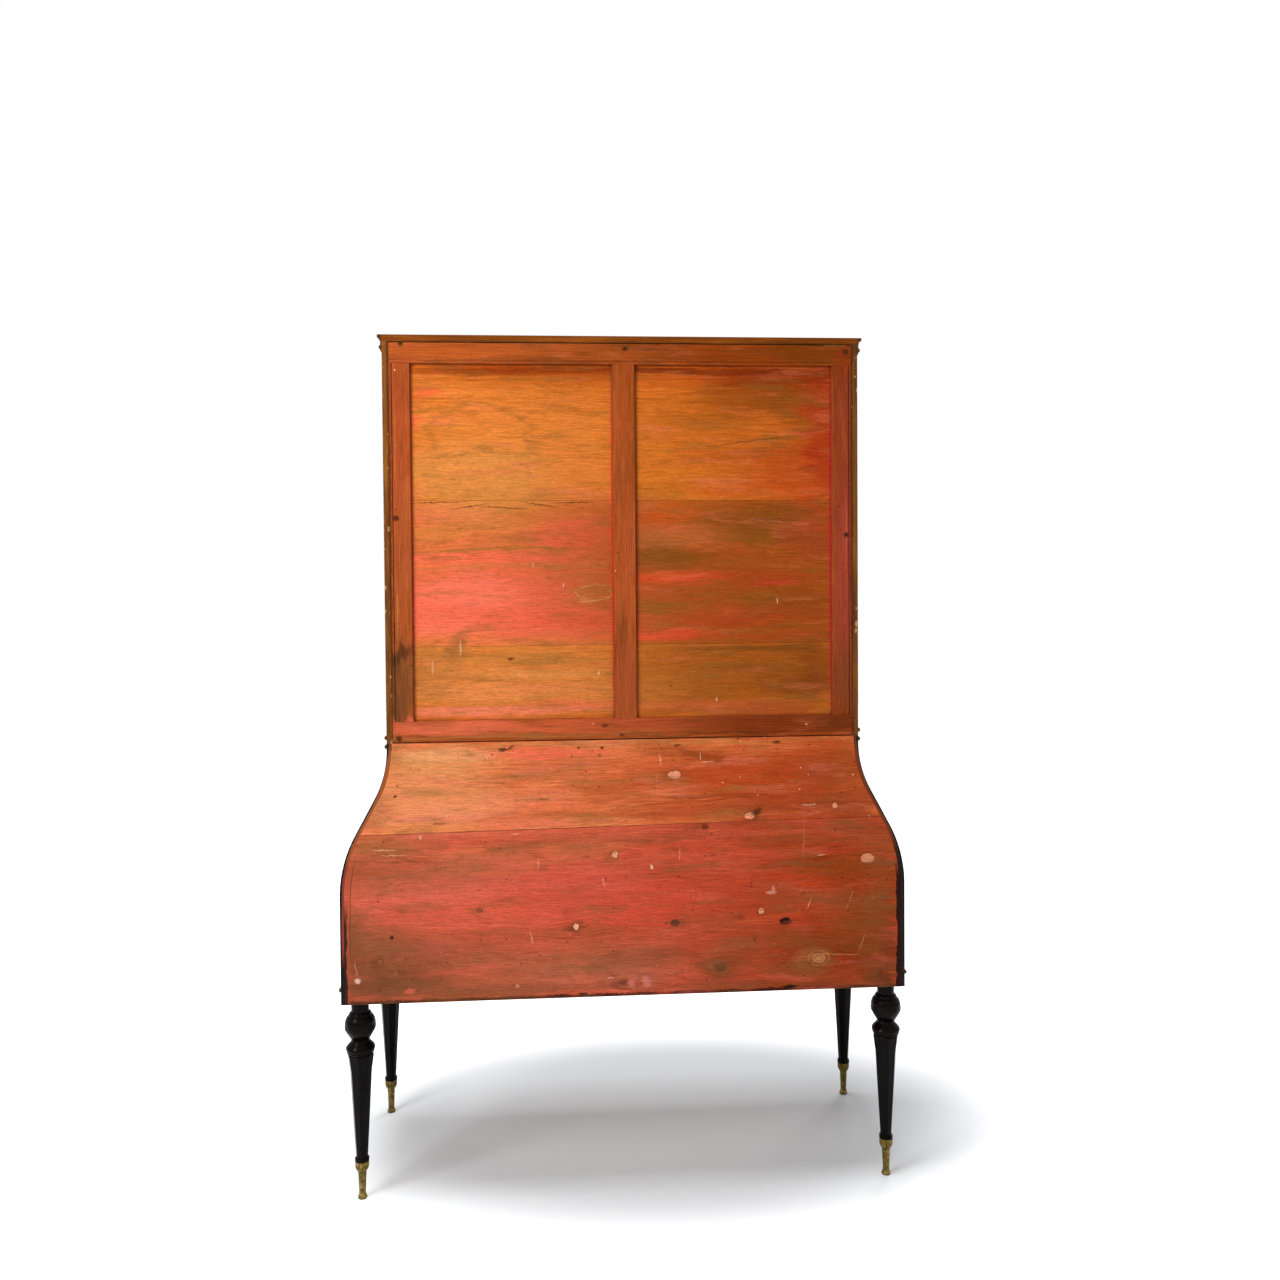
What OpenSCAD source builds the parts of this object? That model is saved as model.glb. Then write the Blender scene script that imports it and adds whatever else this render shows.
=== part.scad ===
// Secretary bookcase in two parts, in millimetres.
// A glazed upper case stands on a lower case with ogee sides and an ogee fall, on four turned legs.
// The back faces +Y, the front faces -Y, and the feet stand at Z = 0.

/* [Overall size] */
// Width of the lower case, outside its ogee sides
base_w = 1280; // [1240:10:1340]
// Depth of the lower case, from the back boards to the drawer fronts
base_d = 470; // [450:5:500]
// Height of the legs, from the floor to the lower case
leg_h = 455; // [440:5:480]
// Height of the lower case
lower_h = 583; // [570:1:600]
// Height of the upper case, with its cornice
upper_h = 905; // [860:5:960]
// Width of the upper case
upper_w = 1065; // [1030:5:1090]

/* [Ogee] */
// Radius of the hollow at the top of the ogee
hollow_r = 235; // [215:5:260]
// Radius of the swell below the hollow
swell_r = 290; // [260:5:310]
// Steepest slope of the ogee, in degrees from upright
ogee_slope = 28.5; // [27:0.5:31]
// Upright band between the hollow and the seam of the two cases
ogee_band = 12; // [12:1:16]
// How far the ogee steps in at the front
front_step = 150; // [140:2:160]

/* [Lower case] */
// Thickness of the ogee sides
side_t = 22; // [20:1:24]
// Thickness of the top and bottom boards
case_board_t = 20; // [18:1:22]
// Thickness of the back boards
back_t = 12; // [10:1:14]
// Edge of the sides that shows beside the back boards
back_lip = 9; // [7:1:11]
// Height of the tapered joint of the back boards above the case's bottom, at the +X end
back_joint_low = 378; // [360:2:390]
// Height of the same joint at the -X end
back_joint_high = 397; // [392:1:410]
// Gap between boards that meet edge to edge
board_gap = 0.5; // [0.3:0.1:1]
// Height of the desk board's top above the bottom of the case
desk_rise = 287; // [285:1:292]
// Thickness of the desk board
desk_t = 22; // [20:1:24]
// Height of the opening of the long lower drawer
lower_opening_h = 91; // [80:1:95]
// Height of the rails between the openings
rail_h = 18; // [16:1:20]
// Height of the plinth rail in front of the bottom
plinth_rail_h = 22; // [20:1:24]
// Depth of the rails, front to back
rail_d = 50; // [40:2:60]

/* [Fall and lopers] */
// Distance from the fall's flat face to the chord of its ogee
fall_t = 36; // [34:1:40]
// Gap between the fall and what it closes on
fall_gap = 0.4; // [0.3:0.1:0.6]
// Height of the waist rail's upright face over the fall
waist_face_h = 20; // [18:1:22]
// Width of a loper
loper_w = 26; // [22:1:30]
// Length of a loper
loper_l = 380; // [360:5:400]
// Thickness of the upright between a loper and the upper drawer
loper_divider_t = 18; // [16:1:20]
// Running gap on each side of whatever slides
slide_gap = 0.4; // [0.3:0.1:0.6]
// Margin of wood round the leather of the fall
leather_margin = 55; // [45:5:65]
// Thickness of the leather
leather_t = 1.2; // [1:0.1:1.6]

/* [Drawers] */
// Thickness of a long drawer's front
drawer_front_t = 20; // [18:1:22]
// Thickness of a long drawer's sides and back
drawer_side_t = 12; // [10:1:14]
// Thickness of a long drawer's bottom
drawer_bottom_t = 7; // [6:1:8]
// How much lower than the front the sides of a long drawer are
drawer_side_drop = 8; // [6:1:12]
// Distance of the knobs from the middle of a long drawer
knob_x = 330; // [280:10:400]
// Diameter of the brass knobs
knob_d = 28; // [24:1:32]

/* [Gallery of the desk] */
// Depth of the gallery of pigeonholes
gallery_d = 190; // [170:5:210]
// Thickness of the gallery's outer boards
gallery_t = 10; // [8:1:12]
// Thickness of the gallery's inner boards
gallery_inner_t = 7; // [6:1:8]
// Height of the small drawers' openings
small_opening_h = 74; // [66:2:82]
// Thickness of a small drawer's front
small_front_t = 11; // [9:1:13]
// Thickness of a small drawer's other boards
small_side_t = 6; // [5:1:7]

/* [Upper case] */
// Thickness of the sides of the upper case
upper_side_t = 20; // [18:1:22]
// Thickness of the bottom board
upper_bottom_t = 20; // [18:1:22]
// Thickness of the top board
top_board_t = 15; // [13:1:18]
// Edge of the sides that shows beside the back frame
rear_lip = 13.5; // [12:0.5:15]
// Thickness of the shelves
shelf_t = 18; // [16:1:20]
// Radius of the pegs under the shelves
peg_r = 3; // [2.5:0.5:4]
// Height of the rail over the doors
frieze_h = 48; // [46:1:54]

/* [Panelled back] */
// Width of the frame's stiles
back_stile_w = 46; // [42:1:50]
// Height of the frame's rails
back_rail_h = 46; // [42:1:50]
// Width of the middle upright
muntin_w = 50; // [46:1:56]
// Thickness of the frame
back_frame_t = 18; // [16:1:20]
// Gap above and below the frame
back_frame_gap = 2.2; // [1:0.2:3]
// How deep the panels lie below the face of the frame
panel_recess = 5.5; // [4:0.5:7]
// Thickness of the panel boards
panel_t = 6; // [5:0.5:7]
// How far the panels enter the grooves of the frame
panel_tongue = 7; // [5:1:9]
// Height of the lower joint in the panels above the seam of the cases
panel_joint_low = 214; // [200:2:230]
// Height of the upper joint in the panels above the seam
panel_joint_high = 539; // [520:2:560]

/* [Doors] */
// Thickness of the doors
door_t = 22; // [20:1:24]
// Gap round each door
door_gap = 1.5; // [1.4:0.1:2]
// Width of the stiles and of the top rail
door_stile_w = 46; // [42:1:50]
// Height of the bottom rail
door_bottom_h = 60; // [52:2:70]
// Width of a glazing bar
bar_w = 14; // [12:1:16]
// Depth of the moulded face in front of the glass
bar_face_d = 10; // [8:1:11]
// Width of the web between two panes
bar_web = 4; // [3:0.5:5]
// Depth of the rebate that takes the glass
glass_rebate = 7; // [6:1:8]
// Thickness of the glass
glass_t = 3; // [2:0.5:4]

/* [Mouldings] */
// Height of the cornice
cornice_h = 40; // [36:1:44]
// How far the cornice stands out
cornice_out = 10; // [9:1:13]
// Radius of the brass beads
bead_r = 5; // [4:0.5:6]
// Height of the upper waist bead above the seam
bead_above = 13; // [12:1:14]
// Depth of the lower waist bead below the seam
bead_below = 7; // [6:0.5:7]
// Height of the base bead above the bottom of the case
bead_base = 34; // [30:1:36]

/* [Hinges] */
// Radius of a hinge barrel
barrel_r = 3.5; // [3:0.25:4]
// Radius of a hinge pin
pin_r = 1.5; // [1.25:0.25:1.75]
// Running clearance between a pin and its barrel
pin_gap = 0.05; // [0.03:0.01:0.08]
// Thickness of a hinge leaf
leaf_t = 1.6; // [1.2:0.1:2]
// Width of a hinge leaf from the pin
leaf_w = 20; // [18:1:24]
// Length of a hinge
hinge_l = 60; // [48:3:72]
// Distance of the outer hinges from the middle of the fall
fall_hinge_x = 380; // [340:10:420]
// Distance of the door hinges from the ends of the door
door_hinge_end = 70; // [60:5:90]

/* [Legs] */
// Distance of a leg's axis from the side and from the back or front of the case
leg_inset = 35; // [34:1:40]
// Radius of the urn at its widest
urn_r = 34.6; // [32.6:0.2:37]
// Radius of the shaft at its foot end
shaft_foot_r = 13; // [12:0.5:14]
// Height of the brass shoe, up to the ring of the leg
shoe_h = 86; // [80:1:92]
// Height of the black ring above the shoe
ring_h = 8; // [6:1:10]
// Radius of that ring
ring_r = 16; // [15.5:0.5:17]
// Radius of the tenon that enters the case
tenon_r = 11; // [9:1:13]
// Length of the tenon
tenon_l = 16; // [12:1:17]

/* [Locks] */
// Radius of the round escutcheons
escutcheon_r = 9; // [8:1:11]
// Height of the door lock above the bottom of the doors
door_lock_rise = 400; // [380:5:420]

/* [Hidden] */

ogee_steps = 12;
curve_fn = 48;
eps = 1;

ebonised = "#241a17";
carcase_wood = "#8a4a26";
panel_wood = "#c0662e";
back_wood = "#b24e36";
inner_wood = "#a3683c";
brass = "#b08d4c";
leather_red = "#6e2a20";

// Heights
desk_z = leg_h + desk_rise;
seam_z = leg_h + lower_h;
top_z = seam_z + upper_h;

// Half widths
base_hw = base_w / 2;
upper_hw = upper_w / 2;
upper_in = upper_hw - upper_side_t;
base_in = base_hw - side_t;

// The ogee: two arcs with a straight tangent between them
side_step = base_hw - upper_hw;
tangent_l = (side_step - (hollow_r + swell_r) * (1 - cos(ogee_slope))) / sin(ogee_slope);
hollow_z = seam_z - ogee_band;
swell_z = hollow_z - (hollow_r + swell_r) * sin(ogee_slope) - tangent_l * cos(ogee_slope);

// Outline of a side, set in by t from its outer face, from the bottom of the case up to the seam
function ogee_outline(t) = concat(
    [[base_hw - t, leg_h]],
    [for (i = [0:ogee_steps])
        let (a = ogee_slope * i / ogee_steps)
        [base_hw - swell_r + (swell_r - t) * cos(a), swell_z + (swell_r - t) * sin(a)]],
    [for (i = [0:ogee_steps])
        let (a = ogee_slope * (1 - i / ogee_steps))
        [upper_hw + hollow_r - (hollow_r + t) * cos(a), hollow_z - (hollow_r + t) * sin(a)]],
    [[upper_hw - t, seam_z]]
);
step_table = [for (p = ogee_outline(0)) [p[1], (base_hw - p[0]) / side_step]];
function step_at(z) = lookup(z, step_table);
inner_table = [for (p = ogee_outline(side_t)) [p[1], p[0]]];
function inner_x(z) = lookup(z, inner_table);

// The fall: its flat face leans back along the chord of the front ogee
fall_top_z = seam_z - waist_face_h;
fall_lean = atan(front_step * (step_at(fall_top_z) - step_at(desk_z)) / (fall_top_z - desk_z));
ogee_to_front = fall_t / cos(fall_lean) + front_step * step_at(desk_z);
function lip_z(n) = desk_z + fall_gap * cos(fall_lean) + lip_depth(n) * sin(fall_lean);
function lip_depth(n) = n == 0
    ? fall_t
    : (fall_gap * sin(fall_lean) + ogee_to_front - front_step * step_at(lip_z(n - 1))) / cos(fall_lean);
fall_overhang = ogee_to_front - front_step * step_at(lip_z(6));

// Depths: the box of the whole piece is centred on Y = 0
back_y = (base_d + fall_overhang) / 2;
front_y = back_y - base_d;
ogee_y = front_y - ogee_to_front;
upper_front_y = ogee_y + front_step;
lower_back_y = back_y - back_t;
upper_back_y = back_y - back_frame_t;

function front_of(z) = ogee_y + front_step * step_at(z);
front_outline = [for (p = ogee_outline(0)) [front_of(p[1]), p[1]]];
function chord_distance(p) = -(p[0] - front_y) * cos(fall_lean) + (p[1] - desk_z) * sin(fall_lean);
fall_bulge = max([for (p = front_outline) if (p[1] > desk_z && p[1] < seam_z) chord_distance(p)]);
fall_l = (front_of(fall_top_z) - front_y) * sin(fall_lean) + (fall_top_z - desk_z) * cos(fall_lean);

// Rails and openings of the lower case
loper_top_z = desk_z - fall_bulge - slide_gap - fall_gap;
top_rail_z = loper_top_z + slide_gap;
plinth_top_z = leg_h + case_board_t + plinth_rail_h;
mid_rail_z = plinth_top_z + lower_opening_h;
upper_opening_z = mid_rail_z + rail_h;
loper_x = inner_x(top_rail_z) - slide_gap;
divider_x = loper_x - loper_w - slide_gap;
upper_drawer_hw = divider_x - loper_divider_t - slide_gap;
lower_drawer_hw = inner_x(mid_rail_z) - slide_gap;
drawer_l = base_d - back_t - 10;

// The upper case
floor_z = seam_z + upper_bottom_t;
ceiling_z = top_z - top_board_t;
door_z0 = floor_z + door_gap;
door_z1 = ceiling_z - frieze_h - door_gap;
door_x0 = door_gap / 2;
door_x1 = upper_in - door_gap;
sight_x0 = door_x0 + door_stile_w;
sight_x1 = door_x1 - door_stile_w;
sight_z0 = door_z0 + door_bottom_h;
sight_z1 = door_z1 - door_stile_w;
pane_rows = 4;
function bar_z(i) = sight_z0 + (sight_z1 - sight_z0) * i / pane_rows;
function shelf_z(i) = bar_z(i) - shelf_t / 2;
door_hinge_zs = [
    door_z0 + door_hinge_end,
    (door_z0 + door_z1 - hinge_l) / 2,
    door_z1 - door_hinge_end - hinge_l
];
fall_hinge_xs = [-fall_hinge_x, 0, fall_hinge_x];
door_pin_y = upper_front_y - 2;
door_pin_x = upper_in - door_gap / 2;

// The gallery
gallery_hw = upper_hw - side_t - 1;
gallery_y = lower_back_y - gallery_d;
gallery_top_z = seam_z - case_board_t;
small_count = 4;
hole_count = 8;
small_pitch = (2 * gallery_hw - 2 * gallery_t + gallery_inner_t) / small_count;
hole_pitch = (2 * gallery_hw - 2 * gallery_t + gallery_inner_t) / hole_count;
small_z = desk_z + gallery_inner_t;
hole_z = small_z + small_opening_h + gallery_inner_t;
small_l = gallery_d - gallery_inner_t - 8;

// The back frame
back_frame_hw = upper_hw - rear_lip - board_gap;
back_frame_z0 = seam_z + back_frame_gap;
back_frame_z1 = ceiling_z - back_frame_gap;

// The legs
leg_x = base_hw - leg_inset;
leg_back_y = back_y - leg_inset;
leg_front_y = front_y + leg_inset;
shaft_z = shoe_h + ring_h;

module block(x, y, z)
    translate([x[0], y[0], z[0]])
        cube([x[1] - x[0], y[1] - y[0], z[1] - z[0]]);

// Extrudes an (X, Z) outline from y0 to y1
module along_y(y0, y1)
    translate([0, y1, 0])
        rotate([90, 0, 0])
            linear_extrude(y1 - y0)
                children();

// Extrudes a (Y, Z) outline from x0 to x1
module along_x(x0, x1)
    translate([x0, 0, 0])
        rotate([90, 0, 90])
            linear_extrude(x1 - x0)
                children();

module on_side(side)
    mirror([side < 0 ? 1 : 0, 0, 0])
        children();

// Places what is drawn in the fall's own axes: X as it is, Y out of the flat face, Z up the face
module on_fall()
    translate([0, front_y, desk_z])
        rotate([-fall_lean, 0, 0])
            mirror([0, 1, 0])
                children();

// Whole width of the lower case, set in by t from the outer faces of its sides
module case_outline(t)
    polygon(concat(
        ogee_outline(t),
        [for (i = [len(ogee_outline(t)) - 1:-1:0]) [-ogee_outline(t)[i][0], ogee_outline(t)[i][1]]]
    ));

// Everything behind the front ogee, as a (Y, Z) outline
module behind_front()
    polygon(concat(front_outline, [[back_y, seam_z], [back_y, leg_h]]));

// A moulding round three sides of a case: child 0 is its outline, out from the face and up
module wrap_three(hw, y0, y1, out) {
    intersection() {
        along_x(-hw - out, hw + out)
            translate([y0, 0])
                mirror([1, 0])
                    children();
        linear_extrude(top_z + eps)
            polygon([[-hw, y0], [hw, y0], [hw + out, y0 - out], [-hw - out, y0 - out]]);
    }
    for (side = [-1, 1])
        on_side(side)
            intersection() {
                along_y(y0 - out, y1)
                    translate([hw, 0])
                        children();
                linear_extrude(top_z + eps)
                    polygon([[hw, y0], [hw + out, y0 - out], [hw + out, y1], [hw, y1]]);
            }
}

module bead_outline(z)
    polygon([for (i = [0:16]) let (a = -90 + 180 * i / 16) [bead_r * cos(a), z + bead_r * sin(a)]]);

// One leaf of a butt hinge. The pin stands along Z at the origin and the leaf goes out along +X,
// between y = drop and y = drop + leaf_t. own and other are the thirds of the barrel, 0 to 2.
module hinge_leaf(own, other, drop) {
    third = hinge_l / 3;
    difference() {
        union() {
            block([0, leaf_w], [drop, drop + leaf_t], [0, hinge_l]);
            for (i = own)
                translate([0, 0, i * third + 0.15])
                    cylinder(r = barrel_r, h = third - 0.3, $fn = curve_fn);
        }
        for (i = other)
            translate([0, 0, i * third - 0.15])
                cylinder(r = barrel_r + 0.3, h = third + 0.3, $fn = curve_fn);
        translate([0, 0, -eps])
            cylinder(r = pin_r + pin_gap, h = hinge_l + 2 * eps, $fn = curve_fn);
    }
}

// The room that a leaf and the barrel need in the wood
module hinge_recess(drop) {
    block([0, leaf_w + 0.1], [drop - eps, drop + leaf_t + 0.1], [-0.1, hinge_l + 0.1]);
    translate([0, 0, -pin_end - 0.4])
        cylinder(r = barrel_r + 0.4, h = hinge_l + 2 * pin_end + 0.8, $fn = curve_fn);
}

pin_end = 1.5;
module hinge_pin() {
    translate([0, 0, -pin_end])
        cylinder(r = pin_r, h = hinge_l + 2 * pin_end, $fn = curve_fn);
    for (z = [-pin_end, hinge_l + pin_end - 1.3])
        translate([0, 0, z])
            cylinder(r = pin_r + 0.8, h = 1.3, $fn = curve_fn);
}

// Axes of a leaf that is let into the desk board: the leaf goes back, flush with the top
module at_desk_leaf(x)
    translate([x - hinge_l / 2, front_y, desk_z])
        rotate([0, 90, 0])
            rotate([0, 0, 90])
                mirror([0, 1, 0])
                    children();

// Axes of a leaf that is let into the fall
module at_fall_leaf(x)
    translate([x - hinge_l / 2, front_y, desk_z])
        rotate([-fall_lean, 0, 0])
            rotate([0, 90, 0])
                rotate([0, 0, 180])
                    children();

// Axes of a leaf in the right-hand side of the upper case, and in the edge of the door
module at_case_leaf(z)
    translate([door_pin_x, door_pin_y, z])
        rotate([0, 0, 90])
            mirror([0, 1, 0])
                children();

module at_door_leaf(z)
    translate([door_pin_x, door_pin_y, z])
        rotate([0, 0, 90])
            children();

// Upper case

module upper_side()
    difference() {
        block([upper_in, upper_hw], [upper_front_y, back_y], [seam_z, ceiling_z]);
        block(
            [upper_in - eps, back_frame_hw + board_gap],
            [upper_back_y - board_gap, back_y + eps],
            [seam_z - eps, ceiling_z + eps]
        );
        for (i = [1:pane_rows - 1], k = [-1, 0, 1], y = peg_ys)
            translate([upper_in - eps, y, shelf_z(i) - peg_r + 25 * k])
                rotate([0, 90, 0])
                    cylinder(r = peg_r + 0.1, h = peg_in + eps + 0.2, $fn = curve_fn);
        for (z = door_hinge_zs)
            at_case_leaf(z)
                hinge_recess(door_gap / 2);
    }

module upper_side_left()
    color(ebonised)
        on_side(-1)
            upper_side();

module upper_side_right()
    color(ebonised)
        upper_side();

module upper_bottom()
    color(carcase_wood)
        block([-upper_in, upper_in], [upper_front_y, upper_back_y], [seam_z, floor_z]);

module upper_top()
    color(carcase_wood)
        block([-upper_hw, upper_hw], [upper_front_y, back_y], [ceiling_z, top_z]);

module frieze_rail()
    color(ebonised)
        block(
            [-upper_in, upper_in],
            [upper_front_y, upper_front_y + door_t],
            [ceiling_z - frieze_h, ceiling_z]
        );

cornice_z = top_z - cornice_h;
cornice_flat = 3;
module cornice()
    color(ebonised)
        wrap_three(upper_hw, upper_front_y, back_y, cornice_out)
            polygon(concat(
                [[0, top_z], [cornice_out, top_z], [cornice_out, top_z - 6], [cornice_out - 1, top_z - 7]],
                [for (i = [0:6])
                    let (a = 90 * i / 6)
                    [cornice_out - 1 - (cornice_out - 1 - cornice_flat) * sin(a), top_z - 7 - 11 * (1 - cos(a))]],
                [[cornice_flat, cornice_z + 5], [0, cornice_z]]
            ));

module case_bead(hw, y0, z)
    wrap_three(hw, y0, back_y, bead_r)
        bead_outline(z);

// The cast beads of the case: under the cornice, two at the waist and one near the bottom
module brass_beads()
    color(brass) {
        wrap_three(upper_hw + cornice_flat, upper_front_y - cornice_flat, back_y, bead_r)
            intersection() {
                translate([bead_r * 0.7 - bead_r, 0])
                    bead_outline(cornice_z + 12);
                translate([0, cornice_z])
                    square([bead_r, cornice_h]);
            }
        case_bead(upper_hw, upper_front_y, seam_z + bead_above);
        case_bead(upper_hw, upper_front_y, seam_z - bead_below);
        case_bead(base_hw, front_y, leg_h + bead_base);
    }

panel_y0 = back_y - panel_recess - panel_t;
panel_y1 = back_y - panel_recess;
panel_hw = back_frame_hw - back_stile_w + panel_tongue;
panel_z0 = back_frame_z0 + back_rail_h - panel_tongue;
panel_z1 = back_frame_z1 - back_rail_h + panel_tongue;
module panel_groove()
    block(
        [-panel_hw - 0.2, panel_hw + 0.2],
        [panel_y0 - 0.1, panel_y1 + 0.1],
        [panel_z0 - 0.2, panel_z1 + 0.2]
    );

module back_frame_rails()
    color(carcase_wood)
        difference() {
            for (z = [back_frame_z0, back_frame_z1 - back_rail_h])
                block([-back_frame_hw, back_frame_hw], [upper_back_y, back_y], [z, z + back_rail_h]);
            panel_groove();
            screw_holes();
        }

module back_frame_stiles()
    color(carcase_wood)
        difference() {
            for (side = [-1, 1])
                on_side(side)
                    block(
                        [back_frame_hw - back_stile_w, back_frame_hw],
                        [upper_back_y, back_y],
                        [back_frame_z0 + back_rail_h, back_frame_z1 - back_rail_h]
                    );
            for (side = [-1, 1])
                on_side(side)
                    block(
                        [back_frame_hw - 7, back_frame_hw - 5.5],
                        [back_y - 1.5, back_y + eps],
                        [back_frame_z0 + back_rail_h, back_frame_z1 - back_rail_h]
                    );
            panel_groove();
            screw_holes();
        }

module back_frame_muntin()
    color(carcase_wood)
        difference() {
            block(
                [-muntin_w / 2, muntin_w / 2],
                [upper_back_y, back_y],
                [back_frame_z0 + back_rail_h, back_frame_z1 - back_rail_h]
            );
            for (side = [-1, 1])
                on_side(side)
                    block(
                        [muntin_w / 2 - panel_tongue - 0.2, muntin_w / 2 + eps],
                        [panel_y0 - 0.1, panel_y1 + 0.1],
                        [seam_z, top_z]
                    );
        }

module back_panel() {
    zs = [panel_z0, seam_z + panel_joint_low, seam_z + panel_joint_high, panel_z1];
    for (i = [0:2])
        block(
            [muntin_w / 2 - panel_tongue, panel_hw],
            [panel_y0, panel_y1],
            [zs[i] + board_gap / 2, zs[i + 1] - board_gap / 2]
        );
}

module back_panel_left()
    color(panel_wood)
        on_side(-1)
            back_panel();

module back_panel_right()
    color(panel_wood)
        back_panel();

// Screws of the back frame, as places across it and above the seam
back_screw_places = [
    [491, 885], [-5, 877], [-506, 873], [506, 500], [-506, 459], [505, 11]
];
screw_head_r = 3.4;
module screw_holes()
    for (p = back_screw_places)
        translate([p[0], back_y - 3, seam_z + p[1]])
            rotate([-90, 0, 0])
                cylinder(r = screw_head_r + 0.2, h = 3 + eps, $fn = curve_fn);

module back_screws()
    color(brass)
        for (p = back_screw_places)
            translate([p[0], back_y - 3, seam_z + p[1]])
                rotate([-90, 0, 0])
                    difference() {
                        cylinder(r = screw_head_r, h = 2.4, $fn = curve_fn);
                        translate([-screw_head_r - eps, -0.5, 1.4])
                            cube([2 * screw_head_r + 2 * eps, 1, 2]);
                    }

shelf_front_y = upper_front_y + door_t + 6;
peg_in = 10;
peg_ys = [shelf_front_y + 40, upper_back_y - 50];
module shelves()
    color(inner_wood)
        for (i = [1:pane_rows - 1])
            block(
                [-upper_in + 1, upper_in - 1],
                [shelf_front_y, upper_back_y - 1],
                [shelf_z(i), shelf_z(i) + shelf_t]
            );

module shelf_pegs()
    color(brass)
        for (side = [-1, 1], i = [1:pane_rows - 1], y = peg_ys)
            on_side(side)
                translate([upper_in - 9, y, shelf_z(i) - peg_r])
                    rotate([0, 90, 0])
                        cylinder(r = peg_r, h = 9 + peg_in, $fn = curve_fn);

// Doors

// Section of a glazing bar, across and back from the face of the door
module bar_section()
    polygon(concat(
        [for (i = [0:8])
            let (a = 180 + 180 * i / 8)
            [bar_w / 2 * cos(a), bar_face_d * 0.6 * (1 + sin(a))]],
        [[bar_w / 2, bar_face_d], [bar_web / 2, bar_face_d], [bar_web / 2, door_t - 2],
         [-bar_web / 2, door_t - 2], [-bar_web / 2, bar_face_d], [-bar_w / 2, bar_face_d]]
    ));

module door_frame() {
    difference() {
        block([door_x0, door_x1], [upper_front_y, upper_front_y + door_t], [door_z0, door_z1]);
        block([sight_x0, sight_x1], [upper_front_y - eps, upper_front_y + door_t], [sight_z0, sight_z1]);
        block(
            [sight_x0 - glass_rebate, sight_x1 + glass_rebate],
            [upper_front_y + bar_face_d, upper_front_y + door_t + eps],
            [sight_z0 - glass_rebate, sight_z1 + glass_rebate]
        );
        for (z = door_hinge_zs)
            at_door_leaf(z)
                hinge_recess(door_gap / 2);
    }
    translate([(sight_x0 + sight_x1) / 2, upper_front_y, sight_z0 - glass_rebate])
        linear_extrude(sight_z1 - sight_z0 + 2 * glass_rebate)
            bar_section();
    for (i = [1:pane_rows - 1])
        translate([sight_x0 - glass_rebate, upper_front_y, bar_z(i)])
            rotate([0, 90, 0])
                linear_extrude(sight_x1 - sight_x0 + 2 * glass_rebate)
                    bar_section();
}

lock_x = door_x0 + 20;
lock_z = door_z0 + door_lock_rise;
lock_in_y = 8;
module door_lock_recess() {
    block(
        [door_x0 - eps, lock_x + 12],
        [upper_front_y + lock_in_y, upper_front_y + door_t + eps],
        [lock_z - 30, lock_z + 30]
    );
    at_lock()
        cylinder(r = escutcheon_r + 0.1, h = 2 * lock_in_y, center = true, $fn = curve_fn);
}

// Axes at the keyhole: Z goes back into the door and Y down
module at_lock()
    translate([lock_x, upper_front_y, lock_z])
        rotate([-90, 0, 0])
            children();

// A half-round bead runs up the meeting edge of the right-hand door
module meeting_bead()
    translate([door_x0 + bead_r, upper_front_y, door_z0])
        linear_extrude(door_z1 - door_z0)
            polygon([for (i = [0:10]) let (a = 180 + 180 * i / 10) [bead_r * cos(a), bead_r * 0.8 * sin(a)]]);

module door_frame_left()
    color(ebonised)
        on_side(-1)
            door_frame();

module door_frame_right()
    color(ebonised) {
        difference() {
            door_frame();
            door_lock_recess();
        }
        meeting_bead();
    }

module door_glass() {
    mid = (sight_x0 + sight_x1) / 2;
    half = bar_web / 2 + 0.3;
    xs = [[sight_x0 - glass_rebate + 0.3, mid - half], [mid + half, sight_x1 + glass_rebate - 0.3]];
    for (x = xs, i = [0:pane_rows - 1])
        block(
            x,
            [upper_front_y + bar_face_d, upper_front_y + bar_face_d + glass_t],
            [
                i == 0 ? sight_z0 - glass_rebate + 0.3 : bar_z(i) + half,
                i == pane_rows - 1 ? sight_z1 + glass_rebate - 0.3 : bar_z(i + 1) - half
            ]
        );
}

module door_glass_left()
    color([0.75, 0.85, 0.85, 0.35])
        on_side(-1)
            door_glass();

module door_glass_right()
    color([0.75, 0.85, 0.85, 0.35])
        door_glass();

module door_hinges()
    for (z = door_hinge_zs)
        at_door_leaf(z)
            hinge_leaf([0, 2], [1], door_gap / 2);

module door_hinges_left()
    color(brass)
        on_side(-1)
            door_hinges();

module door_hinges_right()
    color(brass)
        door_hinges();

// The leaves that the cases hold: of the doors and of the fall
module case_hinge_leaves()
    color(brass) {
        for (side = [-1, 1], z = door_hinge_zs)
            on_side(side)
                at_case_leaf(z)
                    hinge_leaf([1], [0, 2], door_gap / 2);
        for (x = fall_hinge_xs)
            at_desk_leaf(x)
                hinge_leaf([1], [0, 2], 0);
    }

module hinge_pins()
    color(brass) {
        for (side = [-1, 1], z = door_hinge_zs)
            on_side(side)
                at_case_leaf(z)
                    hinge_pin();
        for (x = fall_hinge_xs)
            at_desk_leaf(x)
                hinge_pin();
    }

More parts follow.
